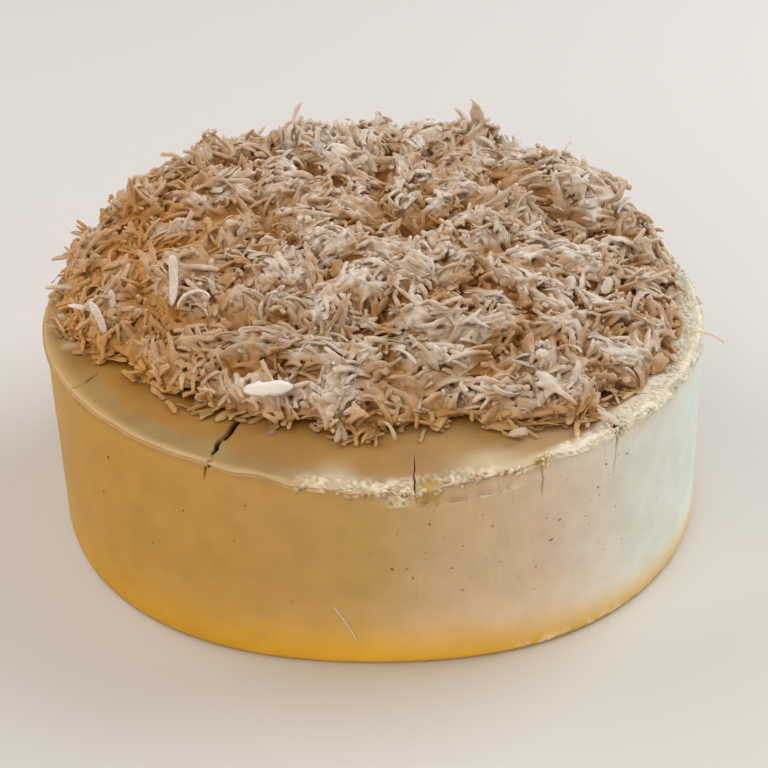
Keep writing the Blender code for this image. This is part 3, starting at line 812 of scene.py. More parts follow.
def make_side_fibre():
    """The stray coconut fibre on the side, and two white specks."""
    azimuth, height, heading, length, width = np.array(SIDE_FIBRES).T
    stations, section = 10, 6
    along_rim = CAKE_RADIUS + CAKE_HEIGHT - height * MM
    points = strand_points(
        *lie_on_frosting(azimuth, along_rim, np.radians(heading), 0.0, 0.15 * MM),
        length * MM,
        width * MM,
        0.8 * width * MM,
        stations,
        section,
        sway=np.radians(-14.0 * np.sign(length - 2.0)),
        cut=0.4,
    )
    everywhere = np.ones(points.size // 3)
    link_coconut(tube_mesh("side_fibre", points, stations, section), everywhere, 0.0 * everywhere, points)


# The heap


def read_outline(azimuth):
    """Foot radius and shoulder height at azimuths, each the mean of three readings, to round its corners."""
    angles, feet, shoulders = np.array(HEAP_OUTLINE).T
    around = [azimuth - OUTLINE_BLUR, azimuth, azimuth + OUTLINE_BLUR]

    def mean(heights):
        return sum(np.interp(angle, angles, heights, period=360.0) for angle in around) / len(around)

    return mean(feet), mean(shoulders)


def cell_of(place):
    """The row of the grid nearest to a place in y, or the column nearest to one in x."""
    return np.clip(np.round((place + TOP_REACH) / CELL), 0, GRID_SIDE - 1).astype(int)


def read_grid(grid, x, y):
    """Reads the square grid over the cake's top between its cells, by the weights of the four nearest."""
    column, row = (np.clip((place + TOP_REACH) / CELL, 0.0, GRID_SIDE - 1.001) for place in (x, y))
    left, low = np.floor(column).astype(int), np.floor(row).astype(int)
    s, t = column - left, row - low
    near, far = (grid[line, left] * (1.0 - s) + grid[line, left + 1] * s for line in (low, low + 1))
    return near * (1.0 - t) + far * t


# Tufts that show in the outline or stand out: x, y, reach, height, way in degrees
NAMED_TUFTS = (
    (0.0323, 0.0716, 0.010, 0.0095, 70.0),
    (-0.0560, 0.0600, 0.009, 0.0105, 100.0),
    (-0.0270, 0.0720, 0.009, 0.0095, 60.0),
    (0.0560, 0.0520, 0.010, 0.0080, 120.0),
    (0.0800, 0.0330, 0.011, 0.0085, 40.0),
    (0.0850, 0.0150, 0.009, 0.0100, 150.0),
    (-0.0760, 0.0360, 0.009, 0.0100, 110.0),
    (-0.0880, 0.0140, 0.008, 0.0090, 20.0),
    (0.0300, 0.0060, 0.013, 0.0095, 150.0),
    (0.0480, -0.0250, 0.014, 0.0080, 130.0),
    (0.0140, -0.0420, 0.012, 0.0090, 165.0),
    (-0.0150, -0.0050, 0.012, 0.0090, 60.0),
)


@functools.lru_cache
def tuft_map(spacing, rise):
    """Tufts of shreds that cling together: their height and, as an angle, the way that their shreds lie.

    A tuft is a paraboloid over an ellipse that is longer along its own way. The tufts stand on a jogged
    square grid, and the highest at each place counts.
    """
    draw = np.random.default_rng(31)
    row = np.arange(-105.0 * MM, 105.0 * MM, spacing)
    middles = np.stack(np.meshgrid(row, row), axis=-1).reshape(-1, 2)
    middles = middles + draw.uniform(-0.42, 0.42, middles.shape) * spacing
    ways = draw.uniform(0.0, math.pi, len(middles))
    named = np.array(NAMED_TUFTS)
    forms = draw.uniform((0.75, 0.5, 0.35), (1.25, 0.8, 1.0), (len(middles), 3)) * (spacing, spacing, rise)
    forms = np.concatenate((forms, named[:, (2, 2, 3)] * (1.0, 0.6, 1.0)))
    middles = np.concatenate((middles, named[:, :2]))
    ways = np.concatenate((ways, np.radians(named[:, 4])))
    axis = np.linspace(-TOP_REACH, TOP_REACH, GRID_SIDE)
    height = np.full((GRID_SIDE, GRID_SIDE), -0.4 * rise)
    number = np.zeros(height.shape, int)
    cells = round(1.5 * spacing / CELL) + 2
    for index, (middle, way, (long, wide, high)) in enumerate(zip(middles, ways, forms)):
        column, row = cell_of(middle)
        columns = slice(max(column - cells, 0), column + cells + 1)
        rows = slice(max(row - cells, 0), row + cells + 1)
        dx, dy = axis[columns][None, :] - middle[0], axis[rows][:, None] - middle[1]
        ahead = dx * math.cos(way) + dy * math.sin(way)
        aside = dy * math.cos(way) - dx * math.sin(way)
        form = high * (1.0 - (ahead / long) ** 2 - (aside / wide) ** 2)
        number[rows, columns] = np.where(form > height[rows, columns], index, number[rows, columns])
        height[rows, columns] = np.maximum(form, height[rows, columns])
    return height - 0.45 * rise, ways[number]


def tuft_height(x, y, sizes):
    """The height of the tufts at a place, from a zero that is a little under half way up the tallest."""
    return read_grid(tuft_map(sizes.tuft_spacing, sizes.tuft_rise)[0], x, y)


def tuft_way(x, y, sizes):
    """The way that shreds lie in at a place, as an angle, from the tuft that stands highest there."""
    return tuft_map(sizes.tuft_spacing, sizes.tuft_rise)[1][cell_of(y), cell_of(x)]


def heap_point(share, azimuth, sizes):
    """A point on the heap's top, from shares of the way from its middle to its foot and azimuths.

    The height falls from the crown to the foot as a superellipse, with the tufts on it. The shreds overhang
    the foot, so it is drawn in where the lip shows, and shares over 1 stay inside the lip.
    """
    foot, shoulder = read_outline(azimuth)
    towards_edge = smooth_step(share, 0.3, 0.85)
    crown = HEAP_CENTRE * (1.0 - towards_edge) + shoulder * towards_edge
    gentle = 1.0 - 0.85 * stretch(azimuth, 28.0, 165.0, 16.0)
    edge = np.clip(1.0 - share ** (8.0 - 3.0 * gentle), 0.0, 1.0) ** (1.0 / 3.0 + 0.22 * gentle)
    turn = np.radians(azimuth)
    bulge = round_noise(azimuth, 0.0, 9.0 * MM, 14) + 0.6 * round_noise(azimuth, 0.0, 4.0 * MM, 15)
    foot = foot - 4.5 * MM * stretch(azimuth, -46.0, 12.0, 10.0)
    limit = 96.5 * MM - 4.5 * MM * stretch(azimuth, -50.0, 24.0, 8.0)
    beyond = np.maximum(share - 1.0, 0.0)
    radius = (share - beyond) * foot + beyond * np.clip((limit - foot) / 0.08, 0.1 * foot, foot)
    radius = radius + 2.0 * MM * bulge * smooth_step(share, 0.6, 1.0) * (1.0 - 5.0 * np.minimum(beyond, 0.1))
    x = radius * np.cos(turn) + TOP_LEAN
    y = radius * np.sin(turn)
    tufts = tuft_height(x, y, sizes) * smooth_step(edge, 0.0, 0.6)
    height = HEAP_FOOT + (crown - HEAP_FOOT + tufts) * edge
    return np.stack((x, y, CAKE_HEIGHT + GAP + height), axis=-1)


def level_map(points):
    """The coconut's mean level about each cell of the grid, from points all over the heap.

    A cell's own level is that of its highest point. The levels are blurred by a bell, and empty cells don't
    count.
    """
    level = np.zeros((GRID_SIDE, GRID_SIDE))
    np.maximum.at(level, (cell_of(points[:, 1]), cell_of(points[:, 0])), points[:, 2])
    bell = np.exp(-((np.arange(-10, 11) * CELL / LEVEL_BLUR) ** 2))
    both = [level, (level > 0.0).astype(float)]
    for axis in (0, 1):
        both = [np.apply_along_axis(np.convolve, axis, values, bell, "same") for values in both]
    return both[0] / np.maximum(both[1], 1e-6)


def shade_field(points, sizes):
    """How deep each point of the coconut lies, from 0 to 1, and how much of the deep brown colour it takes.

    A part of the depth grows from the tufts' tops down into the hollows between them, and a part with each
    point's depth below the mean level of the coconut about it. This is painted shade and painted highlight:
    ridges are pale, and grooves and hollows brown, where shade falls. The painted shade is lighter at the
    right, the back and the front, as painted light, and lighter at the heap's foot against its shadow. The
    deep brown gathers in what is deep, most of all at the heap's foot, partly palm sugar and partly painted
    shade, and at the left, as painted warm shade.
    """
    x, y, z = points[..., 0], points[..., 1], points[..., 2]
    foot, _ = read_outline(np.degrees(np.arctan2(y, x - TOP_LEAN)))
    share = np.hypot(x - TOP_LEAN, y) / foot
    tufts = tuft_height(x, y, sizes) * (1.0 - smooth_step(share, 0.8, 1.12))
    # Painted shade: brown in the hollows between the tufts, less so towards the foot
    hollow = (1.0 - smooth_step(tufts, *sizes.tuft_shade)) * (1.0 - 0.5 * smooth_step(share, 0.75, 1.0))
    over = z - read_grid(LEVELS["core"], x, y) if "core" in LEVELS else 0.0 * z
    # Painted shade in grooves and painted highlight on ridges, by depth below the mean level, lighter at the
    # foot against the heap's shadow
    under = (1.0 - smooth_step(over, *sizes.strand_shade)) * (1.0 - 0.3 * smooth_step(share, 0.88, 0.98))
    # Painted light: lighter at the back, the right and the front, where more light falls
    back = smooth_step(y, 10.0 * MM, 75.0 * MM)
    right = 0.7 * smooth_step(x, 15.0 * MM, 65.0 * MM)
    ahead = 0.5 * smooth_step(-y, 25.0 * MM, 65.0 * MM)
    painted_paler = np.maximum(np.maximum(back, right), ahead)
    deep = np.clip((0.5 * hollow + 0.62 * under - 0.05) * (1.0 - 0.5 * painted_paler) - 0.09 * back, 0.0, 1.0)
    # Painted warm shade: darker and browner at the left; at the front of the foot the brown is partly palm
    # sugar, partly painted shade
    left = smooth_step(-x, 20.0 * MM, 90.0 * MM)
    front = smooth_step(-y, -50.0 * MM, 10.0 * MM)
    soaked_and_shaded = np.clip(smooth_step(share, 0.70, 0.98) * front + left, 0.0, 1.0)
    wet_and_shaded = smooth_step(share, 0.94, 1.03) * front
    syrup_and_shade = deep**1.2 * (0.15 + 0.8 * soaked_and_shaded) + 0.2 * left + 0.2 * wet_and_shaded
    return np.minimum(deep + 0.32 * left, 1.0), np.minimum(syrup_and_shade, 1.0)


def scatter(count, seed, sizes, lowest, highest):
    """Shares and azimuths spread by the heap's real area, its edge too, and more on tufts than in hollows."""
    draw = np.random.default_rng(seed)
    shares = np.linspace(lowest, highest, 160)
    azimuths = np.linspace(-180.0, 180.0, 361)
    grid = heap_point(shares[:, None], azimuths[None, :], sizes)
    down = grid[1:, :-1] - grid[:-1, :-1]
    round_way = grid[:-1, 1:] - grid[:-1, :-1]
    area = np.linalg.norm(np.cross(down, round_way), axis=-1)
    tufts = tuft_height(grid[:-1, :-1, 0], grid[:-1, :-1, 1], sizes)
    area = area * (sizes.in_hollows + (1.0 - sizes.in_hollows) * smooth_step(tufts, -2.0 * MM, 1.0 * MM))
    total = np.cumsum(area.ravel())
    picks = (np.arange(count) + draw.uniform(0.0, 1.0, count)) * total[-1] / count
    row, column = np.divmod(np.minimum(np.searchsorted(total, picks), area.size - 1), area.shape[1])
    share = shares[row] + draw.uniform(0.0, 1.0, count) * (shares[1] - shares[0])
    azimuth = azimuths[column] + draw.uniform(0.0, 1.0, count)
    order = draw.permutation(count)
    return share[order], azimuth[order]


def core_surface(sizes):
    """Points and faces of the heap's core: the heap's outline drawn in, sunk a little and closed below.

    A square grid is bent into a disc, so that its squares become rings: the larger of the two parameters
    gives the share of the way out, and the other one the azimuth along that square.
    """
    steps = sizes.core_steps
    u = np.linspace(-1.0, 1.0, steps)[None, :] * np.ones((steps, 1))
    v = u.T
    out = np.maximum(np.abs(u), np.abs(v))
    across = np.abs(u) >= np.abs(v)
    along = np.where(across, v, u) / np.maximum(out, 1e-9)
    turn = np.where(across, 45.0 * along, 90.0 - 45.0 * along)
    azimuth = np.where(np.where(across, u, v) < 0.0, turn + 180.0, turn)
    share = out * (1.18 - 0.18 * out**2)
    top = heap_point(share, azimuth, sizes)
    middle = (TOP_LEAN, 0.0)
    top[..., :2] = (top[..., :2] - middle) * (1.0 - sizes.core_inset / MEAN_FOOT) + middle
    top[..., 2] -= smooth_step(1.0 - share, 0.0, 0.05) * sizes.core_sink
    top[..., 2] = np.maximum(top[..., 2], CAKE_HEIGHT + 2.0 * GAP)
    grid = np.arange(steps * steps).reshape(steps, steps)
    quads = np.stack((grid[:-1, :-1], grid[:-1, 1:], grid[1:, 1:], grid[1:, :-1]), axis=-1).reshape(-1, 4)
    border = np.concatenate((grid[0, :-1], grid[:-1, -1], grid[-1, :0:-1], grid[:0:-1, 0]))
    skirt = grid.size + np.arange(len(border))
    rim = top.reshape(-1, 3)[border]
    rim[:, 2] = CAKE_HEIGHT + GAP
    points = np.concatenate((top.reshape(-1, 3), rim, [(TOP_LEAN, 0.0, CAKE_HEIGHT + GAP)]))
    wall = np.stack((skirt, np.roll(skirt, -1), np.roll(border, -1), border), axis=-1)
    under = np.stack((np.full(len(border), len(points) - 1), np.roll(skirt, -1), skirt), axis=-1)
    return points, [np.concatenate((quads, wall)), under]


# Shreds


def strand_faces(count, stations, section):
    """Quads along each of many tubes of the same build, and a polygon to close each of its two ends."""
    start = (np.arange(count) * stations * section)[:, None, None]
    row = start + (np.arange(stations - 1) * section)[None, :, None]
    corner = np.arange(section)[None, None, :]
    beside = (corner + 1) % section
    corners = (row + corner, row + beside, row + section + beside, row + section + corner)
    first = start[:, 0] + np.arange(section)[::-1]
    last = start[:, 0] + (stations - 1) * section + np.arange(section)
    return [np.stack(corners, axis=-1).reshape(-1, 4), np.concatenate((first, last))]


def tube_mesh(name, points, stations, section):
    """A mesh of the tubes that strand_points gives."""
    return build_mesh(name, points.reshape(-1, 3), strand_faces(len(points), stations, section))


def strand_points(
    place, out, along, length, width, thickness, stations, section,
    bend=0.0, sway=0.0, twist=0.0, cup=0.0, fray=1.0, cut=1.0,
):
    """Points of many strips: a flat section carried along an arc that bends out of the heap and sways on it.

    The heading at each station adds the sway, the slope adds the bend, and the line is their running sum. The
    section is an ellipse turned by the twist and dished by the cup. Its two edges are frayed, and each end is
    cut aslant: one edge stays wider there than the other.
    """
    count = len(place)
    t = np.linspace(-0.5, 0.5, stations)[None, :, None]
    across = unit(np.cross(out, along))[:, None, :]
    out, along = out[:, None, :], along[:, None, :]
    angles = (np.negative(bend), sway, twist)
    slope, heading, turn = (np.asarray(angle)[..., None, None] * t for angle in angles)
    tangent = np.cos(slope) * (np.cos(heading) * along + np.sin(heading) * across) + np.sin(slope) * out
    line = np.cumsum(tangent, axis=1)
    line = (line - line.mean(axis=1, keepdims=True)) * (length / (stations - 1))[:, None, None]
    line = line + place[:, None, :]
    side = unit(np.cross(out, tangent))
    up = unit(np.cross(tangent, side))
    side, up = side * np.cos(turn) + up * np.sin(turn), up * np.cos(turn) - side * np.sin(turn)
    round_section = np.linspace(0.0, 2.0 * math.pi, section, endpoint=False)[None, None, :, None]
    reach = np.cos(round_section)
    towards_end = (2.0 * np.abs(t[..., 0])) ** 5
    cut = np.broadcast_to(cut, (2, count, 2))
    ends = np.where(t[..., 0] < 0.0, cut[:, :, :1], cut[:, :, 1:])
    fray = fray * (1.0 - towards_end * (1.0 - ends))
    edges = np.where(reach > 0.0, fray[0][:, :, None, None], fray[1][:, :, None, None])
    half = 0.5 * width[:, None, None, None] * edges
    thin = (1.0 - 0.35 * towards_end)[..., None, None]
    lift = 0.5 * thickness[:, None, None, None] * np.sin(round_section) * thin
    lift = lift + np.asarray(cup)[..., None, None, None] * half * (reach**2 - 0.5)
    points = line[:, :, None, :] + side[:, :, None, :] * half * reach + up[:, :, None, :] * lift
    return points.reshape(count, stations * section, 3)


def keep_above(points, draw):
    """Lifts what would sink into the frosted top: each strand is pressed softly against a level over it."""
    x, y, z = points[..., 0] - TOP_LEAN, points[..., 1], points[..., 2]
    radius = np.hypot(x, y)
    lip = smooth_step(radius, CAKE_RADIUS - 1.4 * LIP_WIDTH, CAKE_RADIUS - 0.6 * LIP_WIDTH)
    level = CAKE_HEIGHT + (LIP_RISE + 0.4 * MM) * lip - sag(np.degrees(np.arctan2(y, x)), radius)
    level = level + GAP + draw.uniform(0.0, 0.3 * MM, len(points))[:, None]
    over_cake = 1.0 - smooth_step(radius, CAKE_RADIUS, CAKE_RADIUS + 1.5 * MM)
    soft = 0.5 * MM
    pressed = level + soft * np.logaddexp(0.0, (z - level) / soft)
    points[..., 2] = z + (pressed - z) * over_cake
    return points


def lay_teams(count, seed, kind, sizes):
    """Places, ways, normals, lengths, bends and tones of teams of shreds that lie side by side.

    A team lies near the way of the tuft under it, lifted, tilted and rolled at random, and all its shreds
    follow one arch of its own length and bend. The way out of the heap comes from a step inwards and a step
    aside.
    """
    draw = np.random.default_rng(seed)
    share, azimuth = scatter(count, seed + 1, sizes, *kind["share"])
    ground = heap_point(share, azimuth, sizes)
    inwards = heap_point(share - 0.015, azimuth, sizes) - ground
    out = unit(np.cross(inwards, heap_point(share, azimuth + 1.5, sizes) - ground))
    out = np.where(out[..., 2:] < 0.0, -out, out)
    rise = draw.beta(1.5, 1.7, count)
    way = tuft_way(ground[:, 0], ground[:, 1], sizes) + np.radians(draw.normal(0.0, kind["stray"], count))
    way = way + math.pi * draw.integers(0, 2, count)
    flat = np.stack((np.cos(way), np.sin(way), np.zeros(count)), axis=-1)
    along = unit(flat - out * np.einsum("nc,nc->n", flat, out)[:, None])
    tilt = np.radians(draw.normal(0.0, kind["tilt"], count)) * (0.4 + 0.9 * rise)
    along, normal = turn_way(along, out, 0.0, tilt)
    normal = roll_way(along, normal, np.radians(draw.normal(0.0, kind["roll"], count)))
    lift = kind["lift"][0] + (kind["lift"][1] - kind["lift"][0]) * rise
    length = draw.uniform(*kind["length"], count)
    bend = np.radians(draw.normal(kind["bend"], 0.6 * kind["bend"], count))
    return ground + out * lift[:, None], along, normal, length, bend, draw.normal(kind["tone"], 0.12, count)


def lay_strands(teams, seed, kind, stations, section):
    """Points of the strands of teams, one row a strand, with each strand's width, length and tone."""
    draw = np.random.default_rng(seed)
    group = np.repeat(np.arange(len(teams[0])), kind["team"])
    count = len(group)
    place, along, normal, team_length, bend, tone = (values[group] for values in teams)
    member = np.tile(np.arange(kind["team"]), len(teams[0])) - 0.5 * (kind["team"] - 1)
    width = draw.uniform(*kind["width"], count)
    aside = member * width * kind["beside"] + draw.normal(0.0, kind["wander"], count)
    ahead = draw.normal(0.0, kind["slide"], count) * team_length
    curve = bend / team_length
    place = place + along * ahead[:, None] - normal * (0.5 * curve * ahead**2)[:, None]
    over = draw.normal(*kind["over"], count)
    place = place + np.cross(normal, along) * aside[:, None] + normal * over[:, None]
    fan = np.radians(draw.normal(0.0, kind["fan"], count) + 4.0 * member * kind["beside"])
    along, normal = turn_way(along, normal, fan, np.radians(draw.normal(0.0, 5.0, count)) - curve * ahead)
    normal = roll_way(along, normal, np.radians(draw.normal(0.0, 12.0, count)))
    length = team_length * draw.uniform(*kind["part"], count)
    points = strand_points(
        place,
        normal,
        along,
        length,
        width,
        draw.uniform(*kind["thickness"], count),
        stations,
        section,
        bend=curve * length,
        sway=np.radians(draw.normal(0.0, kind["sway"], count)),
        twist=np.radians(draw.normal(0.0, kind["twist"], count)),
        cup=draw.normal(kind["cup"], 0.2, count),
        fray=draw.uniform(kind["fray"], 1.1, (2, count, stations)),
        cut=draw.uniform(kind["blunt"], 1.0, (2, count, 2)),
    )
    points = keep_above(points, draw)
    return points, (width, length, tone + draw.normal(0.0, 0.04, count))


def make_fused(name, kinds, seed, voxel, ground=None):
    """One skin round thick moist shreds of some kinds that cling together, and round the heap under them."""
    sizes = bpy.context.scene.coconut_sizes
    stations, section = 8, 6
    points, faces = ([ground[0]], [ground[1]]) if ground else ([], [])
    for kind_name in kinds:
        kind = KINDS[kind_name]
        teams = lay_teams(getattr(sizes, kind_name), 10 * seed, kind, sizes)
        strands, _ = lay_strands(teams, 10 * seed + 5, kind, stations, section)
        faces.append(strand_faces(len(strands), stations, section))
        points.append(strands.reshape(-1, 3))
        seed += 1
    starts = np.cumsum([0] + [len(part) for part in points[:-1]])
    faces = [part + start for start, parts in zip(starts, faces) for part in parts]
    mesh = fuse(build_mesh(name, np.concatenate(points), faces), voxel, sizes.core_triangles)
    points = np.empty(3 * len(mesh.vertices), np.float32)
    mesh.vertices.foreach_get("co", points)
    points = points.reshape(-1, 3).astype(float)
    if ground:
        LEVELS["core"] = level_map(points)
    x, y, z = points.T
    around, away = np.degrees(np.arctan2(y, x)), np.hypot(x, y)
    patches = 0.14 * round_noise(around, away, 3.0 * MM, 17) + 0.20 * round_noise(around, away, 9.0 * MM, 18)
    deep, syrup_and_shade = shade_field(points, sizes)
    # The fibres run along the shreds of each tuft
    way = tuft_way(x, y, sizes)
    grain = (y * np.cos(way) - x * np.sin(way), 0.15 * (x * np.cos(way) + y * np.sin(way)), 0.6 * z)
    # Pale on ridges and brown in hollows, painted highlight and painted shade, with patches of the coconut's
    # own tone
    tone = np.minimum(0.26 + patches + 0.95 * (0.5 - deep), 0.9)
    return link_coconut(mesh, tone, syrup_and_shade, np.stack(grain, axis=-1))


def make_strands(name, kind_name, seed, stations=7, section=4):
    """One piece of loose coconut: strips laid on teams, each with its own length, sway, fray and colour."""
    sizes = bpy.context.scene.coconut_sizes
    kind = KINDS[kind_name]
    teams = lay_teams(getattr(sizes, kind_name), seed, kind, sizes)
    points, (width, length, tone) = lay_strands(teams, seed + 10, kind, stations, section)
    deep, syrup_and_shade = shade_field(points, sizes)
    along = np.repeat(np.linspace(-0.5, 0.5, stations), section)[None, :]
    # Painted highlight and painted shade by depth, as in the fused skins; the ends are a little lighter
    tone = tone[:, None] + 0.08 * ((2.0 * along) ** 2 - 0.4) + 0.9 * (0.5 - deep) - 0.31
    turn = np.tile(np.cos(np.linspace(0.0, 2.0 * math.pi, section, endpoint=False)), stations)[None, :]
    # Each shred reads the fibres at a place of its own, 31 mm from the next
    beside = 0.5 * width[:, None] * turn + 31.0 * MM * np.arange(len(points))[:, None]
    grain = np.stack((beside, 0.12 * length[:, None] * along, np.zeros(points.shape[:2])), axis=-1)
    mesh = tube_mesh(name, points, stations, section)
    mesh.set_sharp_from_angle(angle=math.radians(sizes.crease))
    link_coconut(mesh, np.clip(tone, 0.0, 0.9), syrup_and_shade, grain)


# Traits that are lengths: they are kept in metres
LENGTH_TRAITS = ("lift", "length", "wander", "over", "width", "thickness")


def kind_of(**changes):
    """The common shred, with some traits changed. Lengths are given in millimetres and angles in degrees.

    Traits of its team: share of the way to the heap's foot, lift off the heap, stray from its tuft's way,
    tilt, roll, length and bend. Traits of the shred: how many lie in a team and how far beside, over and
    along it, its part of the team's length, width, thickness, fan, sway, twist, cup, fray of its edges and
    bluntness of its ends.
    """
    traits = {
        "share": (0.02, 0.998),
        "lift": (-0.8, 2.0),
        "stray": 26.0,
        "tilt": 16.0,
        "roll": 25.0,
        "length": (9.0, 17.0),
        "bend": 42.0,
        "tone": 0.6,
        "team": 1,
        "beside": 0.85,
        "wander": 0.3,
        "slide": 0.12,
        "over": (0.0, 0.25),
        "part": (0.7, 1.1),
        "width": (1.8, 3.2),
        "thickness": (0.6, 1.1),
        "fan": 4.0,
        "sway": 24.0,
        "twist": 25.0,
        "cup": 0.2,
        "fray": 0.6,
        "blunt": 0.3,
    }
    unknown = set(changes) - set(traits)
    if unknown:
        raise ValueError(f"no such traits: {unknown}")
    traits.update(changes)
    for name in LENGTH_TRAITS:
        traits[name] = np.multiply(traits[name], MM)
    return traits


KINDS = {
    "lumps": kind_of(
        team=4, width=(1.4, 2.8), thickness=(1.1, 1.8), fan=7.0, length=(6.0, 15.0), lift=(-1.4, 1.2),
        slide=0.2, bend=50.0, cup=0.05, fray=0.65, blunt=0.4, share=(0.0, 1.0),
    ),
    "tips": kind_of(
        team=3, beside=0.7, wander=0.6, width=(1.6, 3.0), thickness=(1.1, 1.8), fan=16.0, length=(6.0, 12.0),
        lift=(-0.6, 2.2), slide=0.2, tilt=42.0, stray=40.0, cup=0.05, share=(0.0, 1.0),
    ),
    "bundles": kind_of(
        team=4, wander=0.25, width=(1.3, 2.5), thickness=(1.0, 1.5), fan=8.0, length=(5.0, 13.0),
        lift=(0.2, 2.6), slide=0.16, tilt=20.0, stray=34.0, bend=55.0, part=(0.55, 1.1), sway=28.0, cup=0.05,
        fray=0.55, blunt=0.65,
    ),
    "standing": kind_of(
        team=2, beside=0.8, wander=0.5, width=(1.5, 3.0), thickness=(1.0, 1.5), fan=16.0, length=(5.0, 10.0),
        lift=(0.4, 2.8), slide=0.2, tilt=44.0, stray=40.0, cup=0.1, fray=0.55, blunt=0.6,
    ),
    "broad": kind_of(
        width=(2.2, 3.8), thickness=(1.0, 1.4), length=(6.0, 14.0), tilt=24.0, lift=(0.4, 3.0), fray=0.5,
        roll=32.0, blunt=0.6,
    ),
    "foot": kind_of(
        team=2, share=(0.90, 1.04), width=(1.2, 2.8), thickness=(0.9, 1.4), tilt=20.0, roll=40.0,
        length=(4.0, 11.0), lift=(-1.4, 1.8), stray=60.0, fan=24.0, fray=0.5, blunt=0.6,
    ),
    "narrow": kind_of(
        team=3, width=(0.9, 1.8), thickness=(0.5, 0.9), length=(6.0, 13.0), fan=9.0, tilt=22.0,
        lift=(0.4, 3.4), fray=0.55, slide=0.2,
    ),
    "short": kind_of(
        team=2, length=(4.0, 8.0), width=(1.4, 3.0), stray=50.0, tilt=30.0, roll=40.0, fan=15.0,
        lift=(0.6, 3.6), bend=30.0, fray=0.5, slide=0.25,
    ),
    "curls": kind_of(
        length=(9.0, 18.0), width=(1.2, 2.4), thickness=(0.5, 0.9), bend=110.0, stray=60.0, tilt=24.0,
        roll=50.0, sway=55.0, twist=60.0, lift=(1.0, 3.8), tone=0.66,
    ),
    "fibres": kind_of(
        team=2, length=(3.0, 8.0), width=(0.35, 0.7), thickness=(0.3, 0.45), stray=50.0, tilt=28.0, fan=22.0,
        sway=45.0, lift=(0.8, 4.0), tone=0.7, cup=0.0, fray=0.7,
    ),
    "bits": kind_of(
        team=2, length=(1.4, 3.8), width=(0.9, 2.2), stray=90.0, tilt=40.0, roll=60.0, fan=60.0, bend=25.0,
        lift=(0.4, 3.4), wander=1.2, slide=0.5, fray=0.5,
    ),
    "strays": kind_of(
        team=2, share=(0.99, 1.08), lift=(-2.0, -0.4), stray=80.0, tilt=8.0, roll=16.0, fan=40.0, bend=14.0,
        length=(3.5, 9.0), width=(1.4, 3.0), thickness=(0.5, 0.9), sway=32.0, tone=0.56, fray=0.5, slide=0.3,
        wander=0.8,
    ),
    "fringe": kind_of(
        team=2, share=(0.92, 1.05), lift=(-1.6, 1.2), stray=70.0, tilt=18.0, roll=35.0, fan=30.0,
        length=(4.0, 11.0), width=(1.4, 3.0), bend=28.0, sway=32.0, tone=0.56, fray=0.5,
    ),
}

# Shreds that stand out: x, y, height over the frosted top, heading, tilt and roll in degrees, length, width,
# thickness, bend and twist in degrees, tone
NAMED_SHREDS = (
    (-0.0309, -0.0690, 0.0115, -1.0, 5.0, -52.0, 0.0138, 0.0046, 0.0008, 24.0, 8.0, 1.2),
    (0.0975, -0.0250, 0.0036, -25.0, -4.0, 0.0, 0.0110, 0.0015, 0.0009, 60.0, 20.0, 0.85),
    (-0.0960, 0.0200, 0.0058, 172.0, -5.0, 0.0, 0.0150, 0.0034, 0.0012, 30.0, 10.0, 0.6),
    (-0.0930, 0.0280, 0.0085, 140.0, 6.0, 0.0, 0.0130, 0.0028, 0.0012, 40.0, 10.0, 0.5),
    (-0.0605, -0.0245, 0.0215, 84.0, 66.0, 20.0, 0.0150, 0.0034, 0.0009, -35.0, 30.0, 0.9),
    (-0.0545, -0.0285, 0.0185, 10.0, 20.0, 70.0, 0.0140, 0.0016, 0.0009, 160.0, 40.0, 0.9),
    (-0.0825, -0.0290, 0.0115, 130.0, 50.0, 30.0, 0.0105, 0.0026, 0.0010, 20.0, 10.0, 0.85),
    (-0.0790, -0.0225, 0.0125, 100.0, 64.0, 20.0, 0.0085, 0.0024, 0.0010, -20.0, 10.0, 0.85),
    (-0.0870, -0.0190, 0.0090, 175.0, 10.0, 20.0, 0.0120, 0.0022, 0.0010, 25.0, 10.0, 0.9),
    (-0.0112, -0.0790, 0.0026, -108.0, -26.0, 10.0, 0.0050, 0.0022, 0.0010, 20.0, 0.0, 0.55),
    (-0.0098, -0.0786, 0.0028, -72.0, -30.0, -10.0, 0.0044, 0.0019, 0.0009, 10.0, 0.0, 0.5),
    (0.0030, -0.0775, 0.0035, -60.0, -18.0, 20.0, 0.0080, 0.0015, 0.0008, 90.0, 30.0, 0.6),
    (0.0388, -0.0778, 0.0026, 215.0, 14.0, 30.0, 0.0070, 0.0028, 0.0005, 60.0, 40.0, 0.62),
    (0.0675, -0.0184, 0.0165, 60.0, 30.0, -30.0, 0.0056, 0.0034, 0.0005, 30.0, 30.0, 0.80),
    (0.0323, 0.0716, 0.0245, 70.0, 62.0, 0.0, 0.0120, 0.0040, 0.0014, -20.0, 10.0, 0.8),
    (0.0280, 0.0700, 0.0240, 110.0, 75.0, 30.0, 0.0110, 0.0034, 0.0013, 20.0, 10.0, 0.8),
    (0.0360, 0.0700, 0.0230, 40.0, 48.0, 0.0, 0.0120, 0.0036, 0.0013, 30.0, 10.0, 0.7),
    (-0.0965, -0.0030, 0.0075, 190.0, 8.0, 0.0, 0.0110, 0.0026, 0.0011, 25.0, 10.0, 0.7),
    (0.0640, -0.0700, 0.0030, -45.0, -12.0, 0.0, 0.0080, 0.0030, 0.0012, 20.0, 10.0, 0.8),
)


